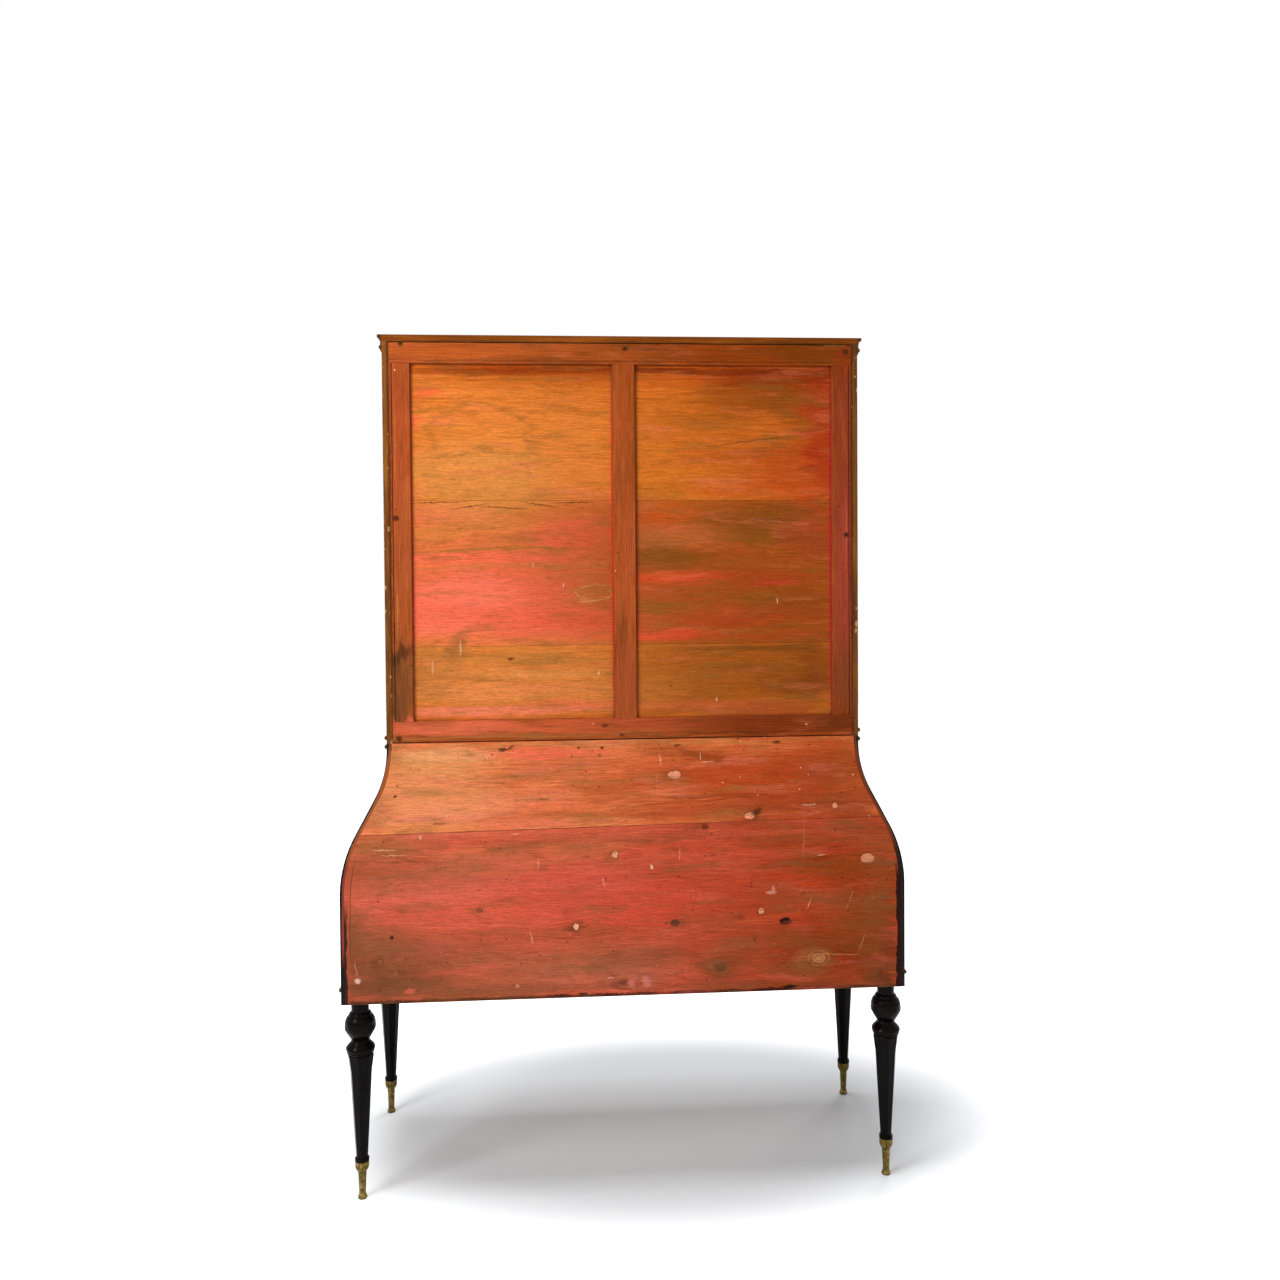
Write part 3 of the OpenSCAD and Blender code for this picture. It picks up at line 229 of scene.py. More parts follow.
def oval(oak, x, z, across, up, tilt, crisp):
    """How far a point lies from (x, z) in mm, as a share of an oval's half-widths: 1 on its rim. The oval frays along
    the grain unless it is crisp."""
    place = oak.chipped if crisp else oak.ragged
    if not tilt:
        spot = add(oak.tree, "VectorMath MULTIPLY_ADD", place, (1000 / across, 0.0, 1000 / up),
                   (-x / across, 0.0, -z / up))
        return add(oak.tree, "VectorMath LENGTH", spot)
    off = add(oak.tree, "VectorMath SUBTRACT", place, mm(x, 0, z))
    turn = math.radians(tilt)
    square = 0.0
    for sway, rise, half in ((math.cos(turn), -math.sin(turn), across), (math.sin(turn), math.cos(turn), up)):
        part = add(oak.tree, "VectorMath DOT_PRODUCT", off, (sway * 1000 / half, 0.0, rise * 1000 / half))
        square = add(oak.tree, "Math MULTIPLY_ADD", part, part, square)
    return add(oak.tree, "Math SQRT", square)


def patch(oak, x, z, across, up, colour, strength, tilt=0.0, soft=0.55, crisp=False, way="MIX"):
    """A spot of stain at (x, z) in mm, an oval of those half-widths with a soft rim; some calls lay painted shade and
    painted shadow with it.
    """
    far = oval(oak, x, z, across, up, tilt, crisp)
    cover(oak, colour, add(oak.tree, "MapRange", far, 1.0 - soft, 1.0 + soft, strength, 0.0, **SMOOTH), way=way)


SMALL = dict(soft=0.4, crisp=True)                      # scratches, specks and drops
PAINTED_SHADE = dict(soft=0.7, crisp=True, way="MULTIPLY")     # painted shade: a wide, warm darkening multiplied over the wood where the lamp's light falls off


def patches(oak, rows, **how):
    """Spots of stain, and at some calls painted shade and shadow, each a row of x, z, two half-widths, colour,
    strength and, where it lies askew, its tilt.
    """
    for row in rows:
        patch(oak, *row, **how)


def ring(oak, x, z, across, up, thick, colour, strength, crisp=False):
    """A ring of stain: the rim of an oval, thick as a share of its half-width."""
    past = add(oak.tree, "Math SUBTRACT", oval(oak, x, z, across, up, 0.0, crisp), 1.0)
    away = add(oak.tree, "Math ABSOLUTE", past)
    cover(oak, colour, add(oak.tree, "MapRange", away, 0.0, thick, strength, 0.0, **SMOOTH))


def clouds(oak, size, low, high, colour, strength, seed=0.0):
    """Stain that dried in clouds, so many mm long and high, where a slow noise lies over low and up to high."""
    laid = add(oak.tree, "VectorMath MULTIPLY_ADD", oak.ragged, (1000 / size[0], 1.0, 1000 / size[1]),
               (seed, seed, seed))
    cloud = add(oak.tree, "TexNoise", {"Vector": laid, "Scale": 1.0, "Detail": 4.0, "Roughness": 0.6})
    cover(oak, colour, add(oak.tree, "MapRange", cloud, low, high, 0.0, strength, **SMOOTH))


def fibres(oak, length, width, dark, light):
    """The open grain over all the stains: fibres of that length and width in mm shade the colour from dark to light,
    as shares of it."""
    fibre = long_noise(oak.tree, oak.waved, oak.along, length, width, 3.0, 0.7)
    shade = add(oak.tree, "MapRange", fibre, 0.3, 0.7, dark, light)
    cover(oak, add(oak.tree, "CombineColor", shade, shade, shade), 1.0, way="MULTIPLY")


def flecks(oak, cell, size, share, colour, strength, stretch=(1.0, 1.0, 1.0)):
    """Small spots, one to a cell of so many mm, of which only a share is drawn; stretch makes them into strokes."""
    tree = oak.tree
    grid = add(tree, "VectorMath MULTIPLY", oak.place, tuple(s * 1000 / cell for s in stretch))
    cells = add(tree, "TexVoronoi", {"Vector": grid, "Scale": 1.0, "Randomness": 1.0})
    lot = add(tree, "SeparateColor", cells.outputs["Color"])
    drawn = add(tree, "Math LESS_THAN", lot.outputs[0], share)
    limit = add(tree, "Math MULTIPLY", lot.outputs[1], size / cell)
    inside = add(tree, "Math LESS_THAN", cells.outputs["Distance"], limit)
    cover(oak, colour, drawn, inside, strength)


def weather(oak, cloud_rows, fibre_rows, fleck_rows):
    """What lies over all the patches: stain in clouds, the open grain, and small spots."""
    for layer, rows in ((clouds, cloud_rows), (fibres, fibre_rows), (flecks, fleck_rows)):
        for row in rows:
            layer(oak, *row)


def grime_and_painted_shade(oak, reach, colour, strength, hidden=0.35, free=0.85):
    """Dirt and old stain that gathered where two pieces meet, within so many mm, with painted shade: an occlusion
    mask darkens the hollows and joints where shade falls.
    """
    nook = add(oak.tree, "AmbientOcclusion", {"Distance": reach / 1000}, **RAYS)
    cover(oak, colour, add(oak.tree, "MapRange", nook.outputs["AO"], hidden, free, strength, 0.0))


def facing(oak, axis, limit):
    """A mask: 1 on the faces that look along an axis by more than a limit, or against it where that is below 0."""
    split = add(oak.tree, "SeparateXYZ", add(oak.tree, "TexCoord").outputs["Normal"])
    return add(oak.tree, "Math GREATER_THAN" if limit > 0 else "Math LESS_THAN", split.outputs[axis], limit)


def bare(oak, *tones):
    """A bare or lightly stained wood that follows the same grain: its tones from dark to light."""
    return tones_over(oak.tree, oak.tone, tones, 0.38, 0.62)


def bare_inside(oak):
    """The stain was brushed on from behind only, so the faces inside the case are bare brown pine."""
    cover(oak, bare(oak, "#7c5630", "#9c7244", "#b08752"), facing(oak, "Y", -0.5))


def between(tree, value, low, high):
    """Two masks that are both 1 where a value in metres lies between two lengths in mm."""
    return (add(tree, "Math GREATER_THAN", value, low / 1000),
            add(tree, "Math LESS_THAN", value, high / 1000))


def next_board(oak, ground, low, high):
    """Starts the next board, between two heights in mm: the stains laid so far end at its joint."""
    cover(oak, ground, *between(oak.tree, add(oak.tree, "SeparateXYZ", oak.place).outputs["Z"], low, high))


def turned_edge(tree, soft_edge, start, full, most):
    """A mask of the edges: it grows as the softened normal turns away from the face's own."""
    true = add(tree, "NewGeometry").outputs["True Normal"]
    turned = add(tree, "VectorMath DOT_PRODUCT", soft_edge, true)
    return add(tree, "MapRange", turned, start, full, 0.0, most)


def surface(oak, rough, relief=0.35, worn=None, wear=0.6, shine=0.04):
    """Finishes a wood: softened edges that are rubbed to a worn colour, a gloss that varies with the grain between
    two roughnesses, and a relief of the fibres. A dry stain has little shine, a polish has more."""
    tree = oak.tree
    edge, depth = mm(1.6, 0.5)
    soft_edge = add(tree, "Bevel", {"Radius": edge}, **RAYS)
    if worn:
        rubbed = turned_edge(tree, soft_edge, 0.995, 0.9, 1.0)
        uneven = add(tree, "MapRange", oak.cloud, 0.4, 0.62, 0.15, 1.0)
        cover(oak, worn, rubbed, uneven, wear)
    height = add(tree, "Math ADD", oak.streak, oak.fibre)
    bump = add(tree, "Bump", {"Strength": relief, "Distance": depth, "Height": height, "Normal": soft_edge})
    gloss = add(tree, "MapRange", oak.tone, DARK, LIGHT, rough[1], rough[0])
    feed(oak.shader, {"Base Color": oak.colour, "Roughness": gloss, "Normal": bump, "Specular IOR Level": shine})
    return oak.wood


def dress(material, *nodes):
    """Puts a material in the slots of these CAD nodes."""
    for node in nodes:
        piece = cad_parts[node]
        if not piece.material_slots:
            piece.data.materials.append(material)
        for material_slot in piece.material_slots:
            material_slot.material = material


# Stained softwood, matt: the stain sank in unevenly, so bands of orange, olive and salmon run along the grain.
panels = grain_of("brushed_orange_stain_on_softwood", "X", ["#b15219", "#d16b20", "#e47b2c", "#f38e3b"],
                  shares=(0.28, 0.36, 0.36), swirls=[(72, 1366, 60, 0.6), (-96, 1455, 90, 0.5)])
ground = panels.colour
# The middle boards took the most red: salmon all over on one side, brown with red clouds on the other.
patches(panels, [
    (250, 1420, 420, 240, "#e17040", 0.8), (250, 1545, 300, 28, "#c7682d", 0.6), (380, 1548, 120, 22, "#ef7052", 0.6),
    (300, 1515, 160, 18, "#e37d40", 0.6), (111, 1500, 100, 40, "#fe684c", 0.75), (420, 1500, 60, 16, "#d87f3a", 0.6),
    (300, 1466, 200, 5, "#9d6c2c", 0.7, 0.8), (300, 1448, 220, 13, "#ff6c50", 0.7),
    (230, 1427, 240, 5, "#b77c38", 0.7, 1.0), (120, 1404, 100, 7, "#b87e3d", 0.6, 3.0),
    (250, 1340, 330, 84, "#ff6b50", 0.9), (330, 1370, 120, 34, "#ff7d62", 0.6), (113, 1290, 120, 34, "#ff5f47", 0.7),
    (400, 1290, 60, 20, "#fc775a", 0.5), (72, 1366, 54, 26, "#ca7c3d", 0.75), (300, 1320, 50, 10, "#e1643c", 0.5),
    (180, 1345, 60, 8, "#eb6e4d", 0.5), (-250, 1420, 420, 240, "#a84f1a", 0.75), (-90, 1540, 60, 26, "#dc5822", 0.6),
    (-376, 1549, 120, 24, "#8c551a", 0.6), (-260, 1530, 150, 16, "#99581f", 0.6),
    (-309, 1499, 130, 22, "#8a571c", 0.6), (-430, 1500, 60, 60, "#b64a27", 0.6), (-96, 1455, 90, 28, "#87531a", 0.7),
    (-200, 1470, 90, 12, "#be571f", 0.5), (-110, 1405, 120, 15, "#f2562f", 0.7),
    (-330, 1400, 120, 20, "#ba4c20", 0.6), (-80, 1335, 120, 16, "#9d6122", 0.6),
    (-272, 1318, 150, 24, "#c85029", 0.6), (-300, 1350, 60, 24, "#965d21", 0.45),
    (-94, 1271, 110, 13, "#f85138", 0.85), (-300, 1266, 130, 9, "#d74d2f", 0.7), (-349, 1388, 60, 9, "#d84a2f", 0.6),
    (-410, 1352, 60, 30, "#9d4e1d", 0.5), (-210, 1296, 90, 8, "#d04a2b", 0.5),
    (-120, 1497, 110, 24, "#e07844", 0.5),
])
# Painted shade: the -X half of the middle boards, far from the lamp, multiplied darker.
patch(panels, -330, 1420, 330, 240, "#e4d4b8", 0.55, **PAINTED_SHADE)
ring(panels, 72, 1366, 44, 17, 0.16, "#e09c68", 0.4)
# The low boards stayed tan, with a salmon wash along the bottom rail.
next_board(panels, ground, 1000, 1252)
patches(panels, [
    (250, 1180, 330, 90, "#db843f", 0.7), (250, 1150, 300, 20, "#ed8c4f", 0.5), (430, 1200, 60, 50, "#be763a", 0.5),
    (368, 1250, 22, 40, "#9b6230", 0.5), (250, 1222, 200, 8, "#c27c39", 0.5), (120, 1116, 120, 14, "#f76e4c", 0.6),
    (330, 1104, 160, 12, "#f37951", 0.6), (200, 1190, 160, 10, "#ed964f", 0.5), (250, 1108, 280, 6, "#ff8b6b", 0.5),
    (-260, 1180, 300, 90, "#ac5f1e", 0.7), (-120, 1215, 80, 14, "#ba6220", 0.6), (-297, 1240, 170, 8, "#754a1b", 0.6),
    (-399, 1150, 80, 34, "#7e4718", 0.5), (-195, 1112, 170, 14, "#d9693b", 0.6),
    (-330, 1098, 120, 12, "#b7542e", 0.6), (-70, 1150, 60, 40, "#c57230", 0.4), (-300, 1195, 130, 14, "#935820", 0.5),
    (-440, 1200, 40, 60, "#8c451a", 0.5),
])
# Painted shade: the -X half of the low boards, far from the lamp, multiplied darker.
patch(panels, -400, 1190, 300, 110, "#dcc8a8", 0.55, **PAINTED_SHADE)
# The top boards are orange and redder by the outer stile; the brown band under the top rail is stain together with
# painted shadow of the rail.
next_board(panels, ground, 1577, 2000)
patches(panels, [
    (250, 1700, 260, 110, "#ea8a3d", 0.5), (330, 1640, 150, 40, "#fa9853", 0.5), (160, 1640, 150, 24, "#e27e33", 0.5),
    (130, 1850, 170, 26, "#bc5e1a", 0.6), (300, 1864, 200, 8, "#933e11", 0.6), (449, 1813, 24, 13, "#f36836", 0.8),
    (455, 1752, 18, 13, "#ef6237", 0.7), (250, 1596, 260, 10, "#e77f4a", 0.5),
    (-100, 1700, 130, 130, "#d97322", 0.55), (-299, 1812, 130, 34, "#964f11", 0.6),
    (-401, 1788, 70, 40, "#914a14", 0.55), (-425, 1640, 140, 60, "#cf4d1e", 0.7),
    (-455, 1720, 44, 170, "#c13d1a", 0.8), (-300, 1600, 190, 18, "#d4581a", 0.5),
    (-200, 1868, 280, 9, "#7e2d0c", 0.7), (-350, 1852, 150, 22, "#963c0f", 0.6),
    (-180, 1760, 120, 20, "#b46018", 0.5), (-250, 1670, 120, 26, "#d05c1c", 0.5), (-90, 1600, 70, 14, "#c3751e", 0.4),
])
# Painted shade over the -X top boards, and painted shadow multiplied into the band under the top rail.
patches(panels, [
    (-420, 1790, 260, 170, "#e0c8a8", 0.6), (-300, 1866, 420, 40, "#eaaf89", 0.6),
    (250, 1872, 260, 14, "#dfa37b", 0.6),
], **PAINTED_SHADE)
# A faint smudge like the rim of a wheel runs over the upper board.
ring(panels, 322, 1688, 118, 104, 0.11, "#8a5a22", 0.36)
patch(panels, 330, 1618, 170, 84, "#dc8a40", 0.8)
# Pale streaks where drops ran down, the red that was brushed along the edges of the frame, and thin dark bands of
# painted shadow cast by the outer stile and the muntin onto the boards beside them.
patches(panels, [
    (368, 1250, 2.2, 18, "#ffcba1", 0.45), (430, 1206, 2.2, 16, "#f8ba8f", 0.45), (257, 1223, 7, 4, "#953518", 0.8),
    (257, 1223, 3, 1.8, "#51180c", 0.8), (-348, 1349, 1.2, 6, "#ffcea1", 0.8), (-207, 1125, 1.2, 5, "#f4d2aa", 0.8),
    (-104, 1158, 2.4, 2, "#471d0c", 0.8), (137, 1387, 1.4, 6, "#f3b7a4", 0.7), (204, 1432, 1.4, 4, "#f3c7ac", 0.7),
    (60, 1188, 1.2, 6, "#ffd2a1", 0.6), (-28, 1480, 3, 380, "#8c3713", 0.5), (27, 1480, 2.4, 380, "#fa4031", 0.8),
    (474, 1500, 4, 380, "#772011", 0.6), (471, 1480, 1.6, 380, "#f0483a", 0.5), (-471, 1470, 4, 370, "#dc2931", 0.85),
], **SMALL)
# The upper joint opened and was filled along a wavy crack below it.
for x, z, across, tilt in [(420, 1573, 60, 2), (345, 1564, 40, 9), (270, 1561, 50, -3), (190, 1568, 40, -8),
                           (110, 1572, 50, 1), (-330, 1532, 60, -2), (-300, 1712, 90, 7)]:
    patch(panels, x, z, across, 1.3, "#5f3810", 0.8, tilt, 0.5, True)
weather(panels, [
    ((130, 20), 0.5, 0.72, "#94602a", 0.5), ((160, 24), 0.52, 0.74, "#e4744c", 0.4, 5.0),
    ((34, 9), 0.5, 0.8, "#7c4a1c", 0.4, 9.0),
], [(36, 1.6, 0.74, 1.2), (9, 2.0, 0.84, 1.14)], [
    (22, 2.3, 0.15, "#f4d8b0", 0.75), (17, 2.2, 0.15, "#4a2410", 0.65),
])
# Dirt and painted shade: dark maroon laid in the recesses along the frame.
grime_and_painted_shade(panels, 14, "#5e1c0c", 0.8)
bare_inside(panels)
dress(surface(panels, (0.5, 0.68), relief=0.4), "back_panel_left", "back_panel_right")


# The frame round those boards. It is plain softwood, planed smooth, tenoned at the corners, screwed to the case
# and brushed with the same red-brown stain, which took evenly on its close grain.
def frame_member(name, along, wide_cloud, low_cloud):
    """A rail or a stile, with the sizes in mm of the brown and the salmon clouds that lie along it."""
    member = grain_of(name, along, ["#823b16", "#9e491c", "#ae5323", "#bb5f28"], streak=(260, 6),
                      cloud=(240, 40), shares=(0.42, 0.3, 0.28))
    patches(member, [
        (350, 1905, 190, 18, "#c05b1f", 0.6), (60, 1905, 120, 18, "#a85015", 0.5), (200, 1893, 90, 7, "#8e4112", 0.5),
        (-300, 1905, 190, 22, "#97450d", 0.7), (-430, 1910, 90, 24, "#7d450b", 0.6),
        (-500, 1740, 26, 220, "#9d3d22", 0.7), (-500, 1400, 26, 200, "#ab4233", 0.75),
        (-500, 1160, 26, 90, "#823e23", 0.7), (496, 1720, 26, 150, "#ad4a23", 0.6),
        (496, 1445, 26, 150, "#ae552c", 0.6), (496, 1170, 30, 88, "#88542c", 0.85),
        (496, 1236, 30, 16, "#522d17", 0.8), (505, 1150, 10, 80, "#654125", 0.6), (0, 1720, 30, 170, "#b0511e", 0.5),
        (0, 1440, 30, 150, "#c2582d", 0.5), (0, 1170, 30, 90, "#ac502d", 0.6), (380, 1072, 190, 16, "#ef714e", 0.8),
        (120, 1072, 160, 14, "#d8603a", 0.7), (-100, 1070, 160, 18, "#b84f29", 0.6),
        (-350, 1068, 170, 22, "#893d19", 0.75), (-470, 1068, 60, 20, "#723816", 0.6),
        (300, 1049, 320, 5, "#b27140", 0.5), (-300, 1047, 320, 4, "#602b10", 0.5),
    ])
    # Painted shade: the -X ends of the top and bottom rails and the low part of the +X stile multiplied darker.
    patches(member, [
        (-420, 1908, 330, 60, "#edd577", 0.7), (-430, 1066, 260, 50, "#e3c094", 0.6),
        (500, 1150, 60, 90, "#d8c8b0", 0.5),
    ], **PAINTED_SHADE)
    patches(member, [
        (47, 1070, 7, 4, "#442313", 0.9), (9, 1049, 6, 3, "#532919", 0.8), (350, 1934, 110, 1.4, "#cc8439", 0.5),
        (505, 1932, 14, 1.4, "#dda256", 0.6), (-480, 1926, 26, 1.4, "#e7b057", 0.6),
        (506, 1700, 1.4, 90, "#c68048", 0.45), (505, 1320, 1.4, 60, "#ce8f55", 0.45),
        (-506, 1500, 1.4, 90, "#e26d4e", 0.5), (-517, 1500, 1.6, 380, "#3d190d", 0.6),
        (-250, 1932, 60, 1.0, "#c48231", 0.5), (517, 1500, 1.6, 400, "#34170a", 0.6),
        (0, 1887, 500, 1.6, "#4c1e08", 0.5),
    ], **SMALL)
    for x, z in [(491, 1923), (-5, 1915), (-506, 1911), (506, 1538), (-506, 1497), (505, 1049)]:
        patch(member, x, z, 7, 6, "#3c1a0c", 0.75, 0.0, 0.5, True)
    weather(member, [(wide_cloud, 0.5, 0.72, "#74401c", 0.5), (low_cloud, 0.52, 0.74, "#c8643c", 0.35, 4.0)],
            [(60, 1.8, 0.78, 1.16), (12, 2.2, 0.88, 1.1)],
            [(18, 2.3, 0.15, "#ecc090", 0.7), (14, 2.2, 0.15, "#30140a", 0.65)])
    # Dirt and painted shade in the joints of the frame.
    grime_and_painted_shade(member, 8, "#3c150a", 0.8)
    bare_inside(member)
    return surface(member, (0.42, 0.6), relief=0.25, worn="#4a2010", wear=0.7)


# Stained softwood with a dull wax: an even red-brown, darker in the joints with dirt and painted shade, its grain
# along each member.
dress(frame_member("red_brown_stain_on_level_softwood", "X", (120, 18), (90, 14)), "back_frame_rails")
dress(frame_member("red_brown_stain_on_upright_softwood", "Z", (18, 150), (14, 110)), "back_frame_stiles",
      "back_frame_muntin")

# A thin dark thread lies in each joint of the panels, 1.5 mm under the face of the boards: it closes the gap, and its
# dark colour is painted shade standing in for the shadow in the tongue-and-groove joint.
joint_filler, filler_nodes, coat = new_material("dark_joint_shade_filler")
filler_noise = add(filler_nodes, "TexNoise", {"Vector": add(filler_nodes, "TexCoord").outputs["Object"], "Scale": 240.0, "Detail": 3.0})
feed(coat, {"Base Color": tones_over(filler_nodes, filler_noise, ("#1e0e08", "#4a2814")), "Roughness": 0.85})
JOINTS = (1.252, 1.577)
HALF_THREAD = 0.0002        # half of the thread's thickness
points, faces = [], []
for low, high in (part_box("back_panel_left"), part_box("back_panel_right")):
    for joint in JOINTS:
        first = len(points)
        for x in (low[0] + 0.008, high[0] - 0.008):
            for y in (low[1] + 0.001, high[1] - 0.0015):
                points.extend([(x, y, joint - HALF_THREAD), (x, y, joint + HALF_THREAD)])
        for face in ((0, 1, 3, 2), (4, 6, 7, 5), (0, 4, 5, 1), (2, 3, 7, 6), (0, 2, 6, 4), (1, 5, 7, 3)):
            faces.append([first + corner for corner in face])
thread = new_piece("joint_shade_threads", points, faces, joint_filler)
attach(thread, "case")


# The two wide boards that close the lower case. They are thin pine, knotty, cut to the ogee and nailed on, and the
# black paint of the sides laps onto their edges. The same stain turned salmon and brick red here.
OGEE = [(455, 640), (695, 640), (730, 637.8), (765, 631.3), (800, 620.6), (833, 605.7), (870, 585.8), (905, 567),
        (940, 551.5), (975, 541.2), (1005, 535.3), (1026, 532.6), (1043, 532.5)]        # height, half-width in mm


def ogee_edge(oak, bands):
    """Paint that follows the ogee. A band (from, to, low, high, side, ragged, colour, strength) lies so many mm in
    from the edge, between two heights in mm, on the sides named by side: 1 for +X, -1 for -X, 0 for both."""
    tree = oak.tree
    split = add(tree, "SeparateXYZ", oak.place).outputs
    low, high = OGEE[0][0] / 1000, OGEE[-1][0] / 1000
    least, spread = 0.5, 0.15        # a curve node runs from 0 to 1, so it holds (half-width - least) / spread
    profile = add(tree, "FloatCurve", {"Value": add(tree, "MapRange", split["Z"], low, high)})
    curve = profile.mapping.curves[0]
    places = [((z / 1000 - low) / (high - low), (half / 1000 - least) / spread) for z, half in OGEE]
    curve.points[0].location, curve.points[1].location = places[0], places[-1]
    for at in places[1:-1]:
        curve.points.new(*at)
    profile.mapping.update()
    half_width = add(tree, "Math MULTIPLY_ADD", profile, spread, least)
    out = add(tree, "Math ABSOLUTE", split["X"])
    inward = add(tree, "Math SUBTRACT", half_width, out)
    rags = add(tree, "TexNoise", {"Vector": oak.place, "Scale": 38.0, "Detail": 5.0, "Roughness": 0.62})
    torn = add(tree, "Math SUBTRACT", rags, 0.5)
    fade = 25        # mm over which a band fades out at its two heights, to each side
    for start, stop, bottom, top, side, ragged, colour, strength in bands:
        depth = add(tree, "Math MULTIPLY_ADD", torn, ragged / 1000, inward)
        masks = [*between(tree, depth, start, stop),
                 add(tree, "MapRange", split["Z"], *mm(bottom - fade, bottom + fade)),
                 add(tree, "MapRange", split["Z"], *mm(top + fade, top - fade))]
        if side:
            there = add(tree, "Math MULTIPLY", split["X"], float(side))
            masks.append(add(tree, "Math GREATER_THAN", there, 0.0))
        cover(oak, colour, *masks, strength)


def knot(oak, x, z, across, up, colour, rim, halo, reach):
    """A knot or a plug: a soft dark halo in the grain, a thin dark rim and a clean-edged oval of its own colour."""
    patch(oak, x, z, across * reach, up * reach, halo, 0.55)
    patch(oak, x, z, across + 1.6, up + 1.6, rim, 0.85, 0.0, 0.12, True)
    patch(oak, x, z, across, up, colour, 0.95, 0.0, 0.1, True)


# Knotty pine, matt: brick red over a pale ground, with olive where the stain met resin, dark knots and bare plugs.
upper_board = grain_of("salmon_stain_on_upper_pine_board", "X", ["#bb5b33", "#dd6f3f", "#ef824e", "#fc995e"],
                       streak=(170, 6), cloud=(260, 40), wave=14, shares=(0.3, 0.36, 0.34),
                       swirls=[(-281, 865, 70, 0.5)])
patches(upper_board, [
    (430, 985, 110, 30, "#ec9a58", 0.6, 3), (480, 880, 90, 60, "#f28a58", 0.6),
    (300, 900, 160, 24, "#fa895e", 0.6, 4), (200, 1010, 150, 12, "#f86c4f", 0.7), (200, 960, 70, 16, "#ce693c", 0.5),
    (48, 935, 90, 26, "#c76333", 0.6, -8), (160, 893, 90, 12, "#f2764b", 0.5), (480, 845, 110, 12, "#f38e50", 0.6, 3),
    (250, 850, 120, 10, "#f87d57", 0.6, 4), (-120, 1005, 90, 14, "#be572a", 0.6, -6),
    (-173, 994, 60, 12, "#a25425", 0.6, -20), (-31, 960, 60, 40, "#e76b43", 0.4),
    (-250, 950, 160, 30, "#d55a30", 0.6), (-220, 905, 200, 5, "#a54a24", 0.6), (-430, 960, 110, 60, "#c15429", 0.6),
    (-450, 890, 120, 40, "#ca522b", 0.5), (-380, 850, 150, 10, "#c1502a", 0.6), (0, 1031, 520, 3, "#d49054", 0.6),
    (-510, 960, 24, 70, "#dc793d", 0.5), (-530, 850, 40, 20, "#b2512a", 0.6), (-120, 870, 150, 14, "#e26b3b", 0.5),
    (20, 870, 120, 10, "#ca6b38", 0.5),
])
# Painted shade: the -X side of the board, far from the lamp, multiplied darker.
patches(upper_board, [
    (-450, 950, 330, 120, "#e8be9b", 0.8), (-150, 940, 200, 100, "#ecd8c0", 0.6),
], **PAINTED_SHADE)
patches(upper_board, [
    (440, 925, 150, 70, "#f0a066", 0.45), (420, 1010, 120, 16, "#f4ac72", 0.5), (417, 868, 120, 13, "#f0866a", 0.55),
    (560, 888, 36, 40, "#c0704a", 0.6), (240, 862, 100, 9, "#de6c4c", 0.5), (-121, 871, 110, 13, "#b84c2e", 0.5),
    (-304, 882, 100, 18, "#a44220", 0.5), (-489, 884, 90, 26, "#9c4620", 0.6), (-490, 958, 80, 44, "#a44a22", 0.55),
])
for row in [
    (-109, 956, 15, 9.5, "#ffa17a", "#592816", "#a44e25", 1.5),
    (-281, 859, 12, 8, "#fe9d73", "#461f12", "#81391b", 1.9),
    (-478, 878, 6.5, 6, "#fca475", "#68351b", "#8c411f", 2.2),
]:
    knot(upper_board, *row)
patches(upper_board, [
    (277, 1020, 9, 4, "#3a1d10", 0.9), (262, 1023, 14, 2.5, "#5e341d", 0.8, 25), (107, 1022, 3, 3, "#37190e", 0.9),
    (54, 1021, 4, 3, "#37170e", 0.9), (60, 1003, 4, 4, "#a75431", 0.8), (-117, 1023, 8, 3, "#401e0f", 0.8),
    (-343, 1026, 10, 3, "#3e1d0e", 0.8), (515, 919, 4, 3.5, "#321b11", 0.9), (421, 857, 16, 2, "#894526", 0.7),
    (189, 906, 14, 2, "#71381d", 0.6), (-297, 868, 14, 7, "#471d10", 0.75, 30), (-371, 846, 10, 2.6, "#461f12", 0.8),
    (-168, 996, 0.8, 8, "#f3d6b0", 0.8), (-186, 984, 13, 0.9, "#f8c698", 0.8), (-77, 992, 1.8, 12, "#f9be92", 0.4, 6),
    (-418, 881, 16, 1, "#f0caa2", 0.85), (312, 1005, 0.5, 16, "#ffc9b1", 0.5, 2),
    (-70, 935, 1, 30, "#f19f82", 0.4, 4),
], **SMALL)
weather(upper_board, [
    ((150, 26), 0.5, 0.7, "#9c6a36", 0.5), ((170, 24), 0.52, 0.72, "#e8785a", 0.45, 5.0),
    ((44, 12), 0.52, 0.78, "#8a4c26", 0.45, 9.0),
], [(34, 1.8, 0.76, 1.18), (9, 2.2, 0.84, 1.14)], [
    (20, 2.5, 0.2, "#f6d2ac", 0.75), (15, 2.4, 0.16, "#3c1a0c", 0.7),
    (34, 3.0, 0.1, "#f0b497", 0.5, (0.5, 1.0, 1.6)),
])
ogee_edge(upper_board, [(-9, 10.5, 400, 1060, 0, 2, "#241410", 0.9), (10.5, 13, 800, 1030, 1, 3, "#c98a50", 0.5)])
# Dirt and painted shade where the board meets the case.
grime_and_painted_shade(upper_board, 9, "#4a1e10", 0.6)
bare_inside(upper_board)
dress(surface(upper_board, (0.46, 0.64), relief=0.4, worn="#3c1c10", wear=0.7), "lower_back_upper")

